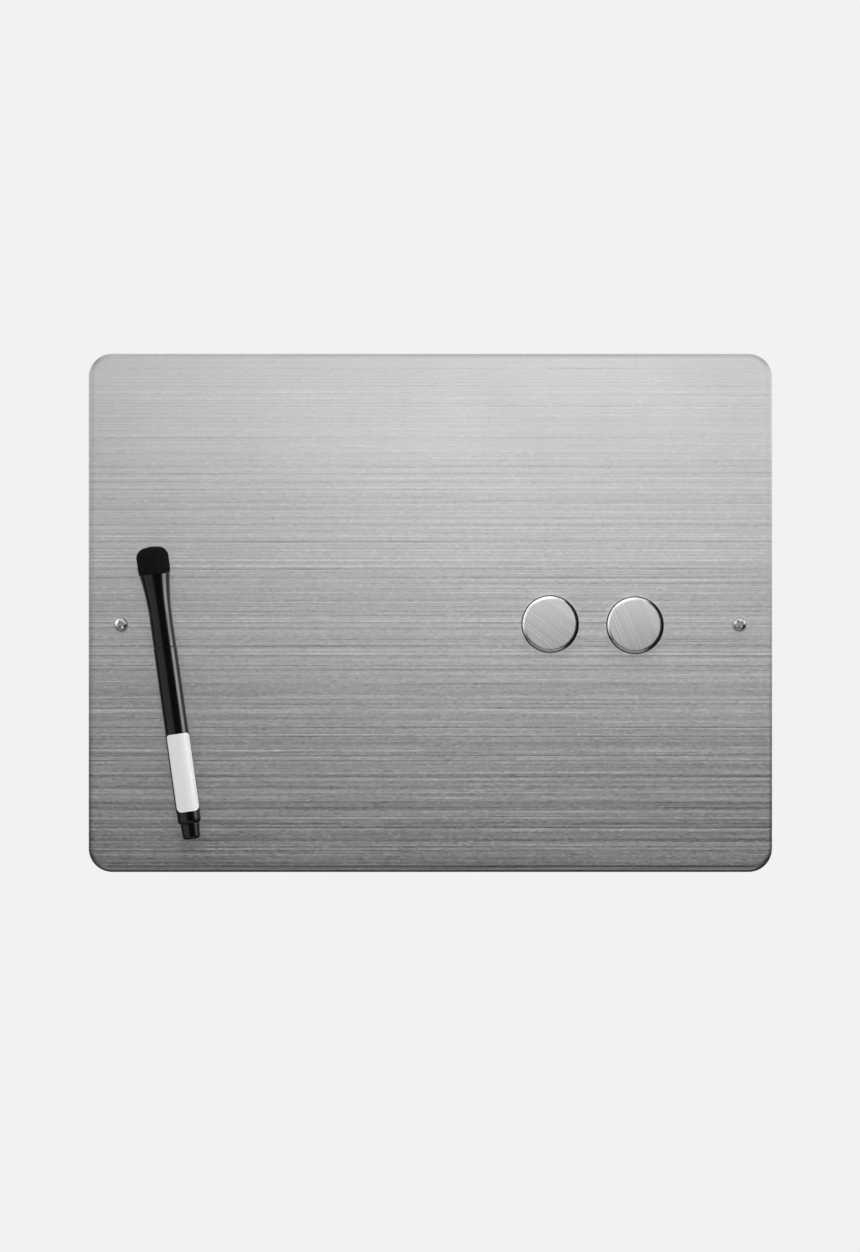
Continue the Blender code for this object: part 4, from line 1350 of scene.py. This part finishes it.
class WHITEBOARD_OT_pen(PieceOperator, bpy.types.Operator):
    """Turn the barrel, tail plug, front section and nib"""

    bl_idname = "whiteboard.pen"
    bl_label = "Marker Pen"

    def execute(self, context):
        sizes = settings().marker
        self.barrel(sizes)
        self.tail_plug(sizes)
        self.front_section(sizes)
        self.nib(sizes)
        dress("ink_reservoir", "inked_core")
        return {"FINISHED"}

    def barrel(self, sizes):
        """The tube, drawn in at its foot to meet the plug."""
        foot, head, radius = on_marker("marker_barrel")
        halfway = (foot + head) / 2
        step = radius - sizes.plug_top
        inside = [(sizes.barrel_bore, halfway), (sizes.barrel_bore, foot)]
        shoulder = [
            (sizes.plug_top + step * x, foot + sizes.barrel_shoulder * (1 + z))
            for x, z in arc((0, 0), 1, 3, 4, 2 * ARC_STEPS)
        ]
        side_foot = (radius, foot + PAST_ROUNDING * sizes.barrel_shoulder)
        mouth = softened([
            (radius, halfway), (radius, head), (sizes.barrel_bore, head),
            (sizes.barrel_bore, halfway + step),
        ], BARREL_MOUTH_ROUND)
        add_marker_piece(
            "gloss_barrel", inside + shoulder + [side_foot] + mouth, "gloss_black_plastic",
            "pen", "marker_plastic", "marker_barrel", closed=True,
        )

    def tail_plug(self, sizes):
        """The tapered stopper with its spigot in the barrel."""
        foot, head = on_marker("tail_plug")[:2]
        shoulder = on_marker("marker_barrel")[0] - sizes.seam
        centre = (sizes.plug_end - sizes.plug_round, foot + sizes.plug_round)
        end = [(0, foot)] + arc(centre, sizes.plug_round, 3, 4, 2 * ARC_STEPS)
        body = softened([
            (sizes.plug_end + PLUG_WIDENING, foot + PAST_ROUNDING * sizes.plug_round),
            (sizes.plug_top, shoulder), (sizes.insert_radius, shoulder),
            (sizes.insert_radius, head), (0, head),
        ], INSERT_ROUND)
        add_marker_piece(
            "gloss_tail_plug", end + body, "gloss_black_plastic", "pen", "marker_plastic", "tail_plug",
        )

    def front_section(self, sizes):
        """Spigot, collar, cone and nose round the nib."""
        foot, head = on_marker("nib_holder")[:2]
        seat = on_marker("marker_cap")[0]
        cone_foot = seat + sizes.collar_length
        outline = softened([
            (sizes.nib_bore, (foot + seat) / 2), (sizes.nib_bore, foot), (sizes.insert_radius, foot),
            (sizes.insert_radius, seat), (sizes.collar_radius, seat), (sizes.collar_radius, cone_foot),
            (sizes.nose_radius, cone_foot + sizes.cone_length), (sizes.nose_radius, head),
            (sizes.nib_bore, head), (sizes.nib_bore, seat),
        ], INSERT_ROUND)
        add_marker_piece(
            "gloss_front_section", outline, "gloss_black_plastic", "pen", "marker_plastic", "nib_holder",
            closed=True,
        )

    def nib(self, sizes):
        """The bullet nib."""
        foot, head, radius = on_marker("writing_nib")
        bullet = [
            (sizes.nib_blunt + (radius - sizes.nib_blunt) * x, head - sizes.nib_point * (1 - z))
            for x, z in arc((0, 0), 1, 0, 1, 2 * ARC_STEPS)
        ]
        add_marker_piece(
            "bullet_nib", [(0, foot), (radius, foot)] + bullet + [(0, head)], "inked_nib",
            "pen", "nib_fibre", "writing_nib", segments=THREAD_SEGMENTS,
        )


class WHITEBOARD_OT_label(PieceOperator, bpy.types.Operator):
    """Wrap the bare label and its black backing film round the barrel"""

    bl_idname = "whiteboard.label"
    bl_label = "Barrel Label"

    def execute(self, context):
        sizes = settings().marker
        foot, head, reach = on_marker("barrel_label")
        white_in = reach - sizes.film
        backing = self.wrapped(
            (foot, head), (white_in - sizes.film, white_in - sizes.film_gap), (0, white_in),
            (sizes.backing_corner, sizes.backing_corner),
        )
        white = self.wrapped(
            (foot + sizes.label_margin, head - sizes.label_margin), (white_in, reach),
            (sizes.label_shift, sizes.label_half_width),
            (sizes.label_corner_foot, sizes.label_corner_top),
        )
        for name, film, finish_name in (
            ("label_backing", backing, "gloss_black_plastic"),
            ("bare_label", white, "white_label_film"),
        ):
            add_piece(name, film, finish_name, "pen", ["barrel_label"], MARKER_MATRIX)
        return {"FINISHED"}

    def wrapped(self, ends, radii, spread, roundings):
        """A thin film bent round the barrel, its corners round as seen from the front.

        It takes the film's foot and head, its inner and outer radius, how far its middle is shifted and
        its half width, and the rounding of its corners at the foot and at the head.
        """
        foot, head = ends
        near, far = radii
        shift, half_width = spread
        bm = bmesh.new()
        rows = []
        for column in range(FILM_COLUMNS + 1):
            across = half_width * math.sin(-QUARTER + math.pi * column / FILM_COLUMNS)
            low = foot + self.corner_drop(half_width - abs(across), roundings[0])
            high = head - self.corner_drop(half_width - abs(across), roundings[1])
            angle = math.asin(max(-1.0, min(1.0, (shift + across) / far))) - QUARTER
            out = Vector((math.cos(angle), math.sin(angle), 0))
            rows.append([
                bm.verts.new(out * radius + Vector((0, 0, height)))
                for radius, height in ((near, low), (far, low), (far, high), (near, high))
            ])
        for near_row, far_row in zip(rows, rows[1:]):
            for index in range(4):
                after = (index + 1) % 4
                bm.faces.new((near_row[index], near_row[after], far_row[after], far_row[index]))
        bm.faces.new(rows[0])
        bm.faces.new(reversed(rows[-1]))
        return bm

    def corner_drop(self, from_side, radius):
        """How far a round corner draws the edge in, at a distance from the side."""
        if from_side >= radius:
            return 0.0
        return radius - math.sqrt(max(0.0, radius ** 2 - (radius - from_side) ** 2))


# The photograph's frame, in its own pixels, and where the board's middle falls in it
PHOTO_WIDTH_PX = 860
PHOTO_HEIGHT_PX = 1252
BOARD_MIDDLE_X_PX = 430.4
BOARD_MIDDLE_Y_PX = 612.75
BOARD_WIDTH_PX = 684.2

# The floor: how low it lies, its radius, its colour, and the light that it gives off to the eye, which
# brings it to the backdrop's level
FLOOR_HEIGHT = -0.45
FLOOR_REACH = 1.4
FLOOR_COLOUR = (0.8, 0.8, 0.8)
FLOOR_LIFT = 0.34

# Cards that only reflections see: where each stands, the axis that it is turned about from lying flat,
# width and height, and its paper
DARK_PAPER = ("dark_card_paper", 0.015)
GREY_PAPER = ("grey_card_paper", 0.55)
UPRIGHT = Matrix.Rotation(QUARTER, 4, "X")
SIDEWAYS = Matrix.Rotation(QUARTER, 4, "Y")
LEVEL = Matrix.Identity(4)
CARDS = (
    ("front_card", (0, -1.3, -0.1), UPRIGHT, (2.0, 3.0), DARK_PAPER),
    ("left_card", (-1.0, -0.2, 0), SIDEWAYS, (2.8, 2.2), DARK_PAPER),
    ("right_card", (1.0, -0.2, 0), SIDEWAYS, (2.8, 2.2), DARK_PAPER),
    ("floor_card", (0, -0.2, -0.43), LEVEL, (2.0, 2.2), DARK_PAPER),
    ("under_card", (-0.1, -0.35, -0.42), LEVEL, (0.8, 0.6), GREY_PAPER),
)

# How a lamp's light fades over its face: along which axis, from which level to which, and between which
# two places on that axis
BOARD_FADES = (
    ("Z", (0.0, 1.0), (-0.065, 0.11)),
    ("Z", (1.0, 0.3), (0.11, 0.35)),
    ("X", (0.60, 1.0), (-0.22, 0.02)),
    ("X", (1.0, 0.86), (0.04, 0.20)),
)
MAGNET_FADES = (
    ("Z", (0.0, 1.0), (-0.20, 0.10)),
    ("Z", (1.0, 0.4), (0.10, 0.40)),
    ("X", (0.75, 1.0), (-0.22, 0.04)),
)
ACCENT_FADES = (
    ("Z", (0.2, 1.0), (-0.30, -0.05)),
    ("Z", (0.0, 1.0), (-0.38, -0.05)),
)
SIDE_FADES = (("Z", (0.15, 1.0), (-0.050, -0.010)),)

# Softboxes: their share of the key power for each metre of width, their width, their place and what they
# face, both as X and Y, and how they fade. All have one height and stand with their middle at one level.
SOFTBOX_HEIGHT = 0.76
SOFTBOX_LEVEL = 0.16
SOFTBOXES = (
    ("key_softbox", 0.3, 1.1, (0, -0.31), (0, 0), BOARD_FADES),
    ("fill_softbox", 0.7, 1.1, (0, -0.31), (0, 0), BOARD_FADES),
    ("magnet_softbox", 0.57, 0.84, (-0.12, -0.31), (-0.12, 0), MAGNET_FADES),
    ("left_softbox", 0.9, 0.6, (-0.42, 0.05), (0, 0.05), BOARD_FADES),
    ("right_softbox", 0.9, 0.6, (0.42, 0.05), (0, 0.05), BOARD_FADES),
)

# Other lamps: the setting that holds their power and their share of it, width and height, their place, what
# they face, and how they fade
MARKER_AIM = (-0.114, -0.017, -0.035)
LAMPS = (
    ("rear_lamp", "rear_power", 1.0, (1.2, 1.2), (0.2, 1.4, 0.8), (0, 0, 0), ()),
    ("side_lamp", "side_power", 1.0, (0.21, 0.20), (0.213, -0.09, -0.04), MARKER_AIM, SIDE_FADES),
    ("left_lamp", "left_power", 1.0, (0.73, 0.96), (-0.51, -0.28, -0.035), MARKER_AIM, ()),
    ("top_lamp", "top_power", 1.0, (0.5, 0.3), (-0.12, -0.35, 0.75), MARKER_AIM, ()),
    ("accent_lamp", "accent_power", 1.0, (0.4, 0.9), (-0.37, -0.15, 0.08), (0.07, 0, 0.08), ACCENT_FADES),
    ("magnet_top_lamp", "accent_power", 0.74, (0.5, 0.4), (-0.09, -0.20, 0.43), (0.07, 0, 0), ()),
)

# Which lamps light only, or all but, some bodies and pieces. The softboxes light the board, and the small
# pieces on it have lamps of their own.
MAGNETS = ("magnet_left", "magnet_right")
MARKER = ("cap", "pen")
SCREWS = ("threaded_screw_left", "threaded_screw_right")
LIGHT_LINKS = (
    ("fill_softbox", "EXCLUDE", MARKER + MAGNETS),
    ("left_softbox", "EXCLUDE", MARKER + MAGNETS),
    ("right_softbox", "EXCLUDE", MARKER + MAGNETS),
    ("key_softbox", "EXCLUDE", MARKER + MAGNETS + SCREWS),
    ("magnet_softbox", "INCLUDE", MAGNETS),
    ("accent_lamp", "INCLUDE", MAGNETS + SCREWS),
    ("magnet_top_lamp", "INCLUDE", MAGNETS),
    ("side_lamp", "INCLUDE", MARKER),
    ("left_lamp", "INCLUDE", MARKER),
    ("top_lamp", "INCLUDE", MARKER),
)


class WHITEBOARD_OT_stage(PieceOperator, bpy.types.Operator):
    """Set the floor, backdrop, lamps and camera"""

    bl_idname = "whiteboard.stage"
    bl_label = "Stage"

    def execute(self, context):
        stage = settings().stage
        scene = context.scene
        scene.view_settings.view_transform = "Standard"
        scene.camera = self.camera(stage.camera_distance)
        scene.world = self.world(stage)
        self.floor()
        for name, place, turn, size, paper in CARDS:
            self.card(name, Matrix.Translation(place) @ turn, size, paper)
        lamps = self.lamps(stage)
        for name, state, members in LIGHT_LINKS:
            self.link_light(lamps[name], f"lit_by_{name}", state, members, "receiver_collection")
        self.link_light(
            lamps["fill_softbox"], "unshaded_in_fill", "EXCLUDE", MARKER + MAGNETS, "blocker_collection",
        )
        return {"FINISHED"}

    def camera(self, distance):
        """A long lens square to the board, framed as in the photograph."""
        scale = (TRAY_HIGH.x - TRAY_LOW.x) / BOARD_WIDTH_PX
        lens = bpy.data.cameras.new("long_lens")
        lens.sensor_width = 36.0
        lens.lens = lens.sensor_width * distance / (PHOTO_HEIGHT_PX * scale)
        lens.clip_end = 20.0
        across = (PHOTO_WIDTH_PX / 2 - BOARD_MIDDLE_X_PX) * scale
        up = (BOARD_MIDDLE_Y_PX - PHOTO_HEIGHT_PX / 2) * scale
        place = Matrix.Translation((across, TRAY_LOW.y - distance, up))
        return add_object("long_lens", lens, place @ UPRIGHT)

    def seen(self, tree):
        """Light Path's mask of what the eye sees, directly, in a reflection or through a surface."""
        path = node(tree, "ShaderNodeLightPath").outputs
        either = maths(tree, "MAXIMUM", path["Is Camera Ray"], path["Is Glossy Ray"])
        return maths(tree, "MAXIMUM", either, path["Is Transmission Ray"])

    def mixed(self, tree, mask, low, high):
        """A grey that is at one level where a mask is 0 and at another where it is 1."""
        values = {0: mask, 6: (low, low, low, 1), 7: (high, high, high, 1)}
        return node(tree, "ShaderNodeMix", values, data_type="RGBA").outputs[2]

    def world(self, stage):
        """A plain pale surround to the eye and in reflections, and a softer room light on matt surfaces."""
        world = bpy.data.worlds.new("pale_surround")
        world.use_nodes = True
        tree = world.node_tree
        tree.nodes.clear()
        level = self.mixed(tree, self.seen(tree), stage.room_light, stage.backdrop)
        light = node(tree, "ShaderNodeBackground", {"Color": level, "Strength": 1.0})
        node(tree, "ShaderNodeOutputWorld", {"Surface": light.outputs[0]})
        return world

    def floor(self):
        """A plain pale floor well below the hung board."""
        bm = bmesh.new()
        bmesh.ops.create_circle(bm, cap_ends=True, segments=TURNED_SEGMENTS, radius=FLOOR_REACH)
        made, tree, shader, at = new_material("floor_paint", roughness=0.9, emission_strength=1.0)
        grain = place_group(tree, "fine_grain", {
            "Vector": at["Object"], "Scale": 300.0, "Contrast": 0.01, "Strength": 0.05, "Depth": 0.0001,
        })
        connect(
            tree, shader, base_color=tinted(tree, FLOOR_COLOUR, grain["Tone"]),
            emission_color=self.mixed(tree, self.seen(tree), 0.0, FLOOR_LIFT),
        )
        mesh = mesh_of("pale_floor", bm, solid=False)
        mesh.materials.append(made)
        ground = add_object("pale_floor", mesh, Matrix.Translation((0, 0, FLOOR_HEIGHT)))

    def paper(self, name, level):
        """Matt paper for a card."""
        made, tree, shader, at = new_material(name, roughness=1.0)
        grain = place_group(tree, "fine_grain", {"Vector": at["Object"], "Scale": 200.0, "Strength": 0.1})
        connect(tree, shader, base_color=tinted(tree, (level, level, level), grain["Tone"]))
        return made

    def card(self, name, matrix, size, paper):
        """A flat card that only reflections see."""
        bm = bmesh.new()
        bmesh.ops.create_grid(bm, x_segments=1, y_segments=1, size=0.5)
        bm.transform(Matrix.Diagonal((*size, 1, 1)))
        mesh = mesh_of(name, bm, solid=False)
        mesh.materials.append(bpy.data.materials.get(paper[0]) or self.paper(*paper))
        card = add_object(name, mesh, matrix)
        for ray in ("camera", "diffuse", "transmission", "volume_scatter", "shadow"):
            setattr(card, f"visible_{ray}", False)

    def lamps(self, stage):
        """Every lamp, by name, its light fading over its face where it should."""
        lamps = {}
        for name, power_share, width, place, target, fades in SOFTBOXES:
            watts = power_share * stage.key_power * width
            ends = ((*place, SOFTBOX_LEVEL), (*target, SOFTBOX_LEVEL))
            lamps[name] = self.lamp(name, watts, (width, SOFTBOX_HEIGHT), *ends)
            self.grade(lamps[name], fades)
        for name, setting, power_share, size, place, target, fades in LAMPS:
            lamps[name] = self.lamp(name, power_share * getattr(stage, setting), size, place, target)
            if fades:
                self.grade(lamps[name], fades)
        return lamps

    def lamp(self, name, watts, size, place, target):
        """A rectangular lamp aimed at a point, unseen by the eye."""
        data = bpy.data.lights.new(name, "AREA")
        data.shape = "RECTANGLE"
        data.size, data.size_y = size
        data.energy = watts
        aim = (Vector(target) - Vector(place)).to_track_quat("-Z", "Y")
        made = add_object(name, data, Matrix.LocRotScale(Vector(place), aim, None))
        made.visible_camera = False
        return made

    def grade(self, lamp, fades):
        """Let a lamp's light fade over its face."""
        lamp.data.use_nodes = True
        tree = lamp.data.node_tree
        place = axes_of(tree, node(tree, "ShaderNodeNewGeometry").outputs["Position"])
        level = 1.0
        for axis, levels, places in fades:
            level = maths(tree, "MULTIPLY", level, ranged(tree, place[axis], levels, places))
        tree.links.new(level, tree.nodes["Emission"].inputs["Strength"])

    def link_light(self, lamp, name, state, members, role):
        """Keep a lamp's light to some bodies or pieces or off them, or let them cast no shadow in it."""
        linked = bpy.data.collections.new(name)
        for made in bpy.context.scene.objects:
            if made.get("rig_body") in members or made.name in members:
                linked.objects.link(made)
        setattr(lamp.light_linking, role, linked)
        for member in linked.collection_objects:
            member.light_linking.link_state = state


# Registration

class WHITEBOARD_PT_sidebar(bpy.types.Panel):
    """The whiteboard's operators and settings"""

    bl_idname = "WHITEBOARD_PT_sidebar"
    bl_label = "Magnetic Whiteboard"
    bl_space_type = "VIEW_3D"
    bl_region_type = "UI"
    bl_category = "Whiteboard"

    def draw(self, context):
        for operator in PIECE_OPERATORS:
            self.layout.operator(operator.bl_idname)
        for group in SETTING_GROUPS:
            box = self.layout.box()
            box.label(text=group.title())
            chosen = getattr(settings(), group)
            for name in chosen.__annotations__:
                box.prop(chosen, name)


SETTING_GROUPS = ("tray", "fixings", "magnets", "marker", "finish", "stage")
PIECE_OPERATORS = (
    WHITEBOARD_OT_tray,
    WHITEBOARD_OT_backing,
    WHITEBOARD_OT_fixings,
    WHITEBOARD_OT_magnets,
    WHITEBOARD_OT_cap,
    WHITEBOARD_OT_eraser,
    WHITEBOARD_OT_pen,
    WHITEBOARD_OT_label,
    WHITEBOARD_OT_stage,
)
PROPERTY_GROUPS = (
    TraySizes, FixingSizes, MagnetSizes, MarkerSizes, FinishColours, StageSettings, WhiteboardSettings,
)
CLASSES = PROPERTY_GROUPS + PIECE_OPERATORS + (WHITEBOARD_PT_sidebar,)


def register():
    """Register the classes and hang the settings on the scene."""
    for made in CLASSES:
        bpy.utils.register_class(made)
    bpy.types.Scene.whiteboard = PointerProperty(type=WhiteboardSettings)


def unregister():
    """Take the settings and classes away again."""
    del bpy.types.Scene.whiteboard
    for made in reversed(CLASSES):
        bpy.utils.unregister_class(made)


def main():
    """Build every piece in order."""
    register()
    bpy.ops.whiteboard.tray()
    bpy.ops.whiteboard.backing()
    bpy.ops.whiteboard.fixings()
    bpy.ops.whiteboard.magnets()
    bpy.ops.whiteboard.cap()
    bpy.ops.whiteboard.eraser()
    bpy.ops.whiteboard.pen()
    bpy.ops.whiteboard.label()
    bpy.ops.whiteboard.stage()


if __name__ == "__main__":
    main()
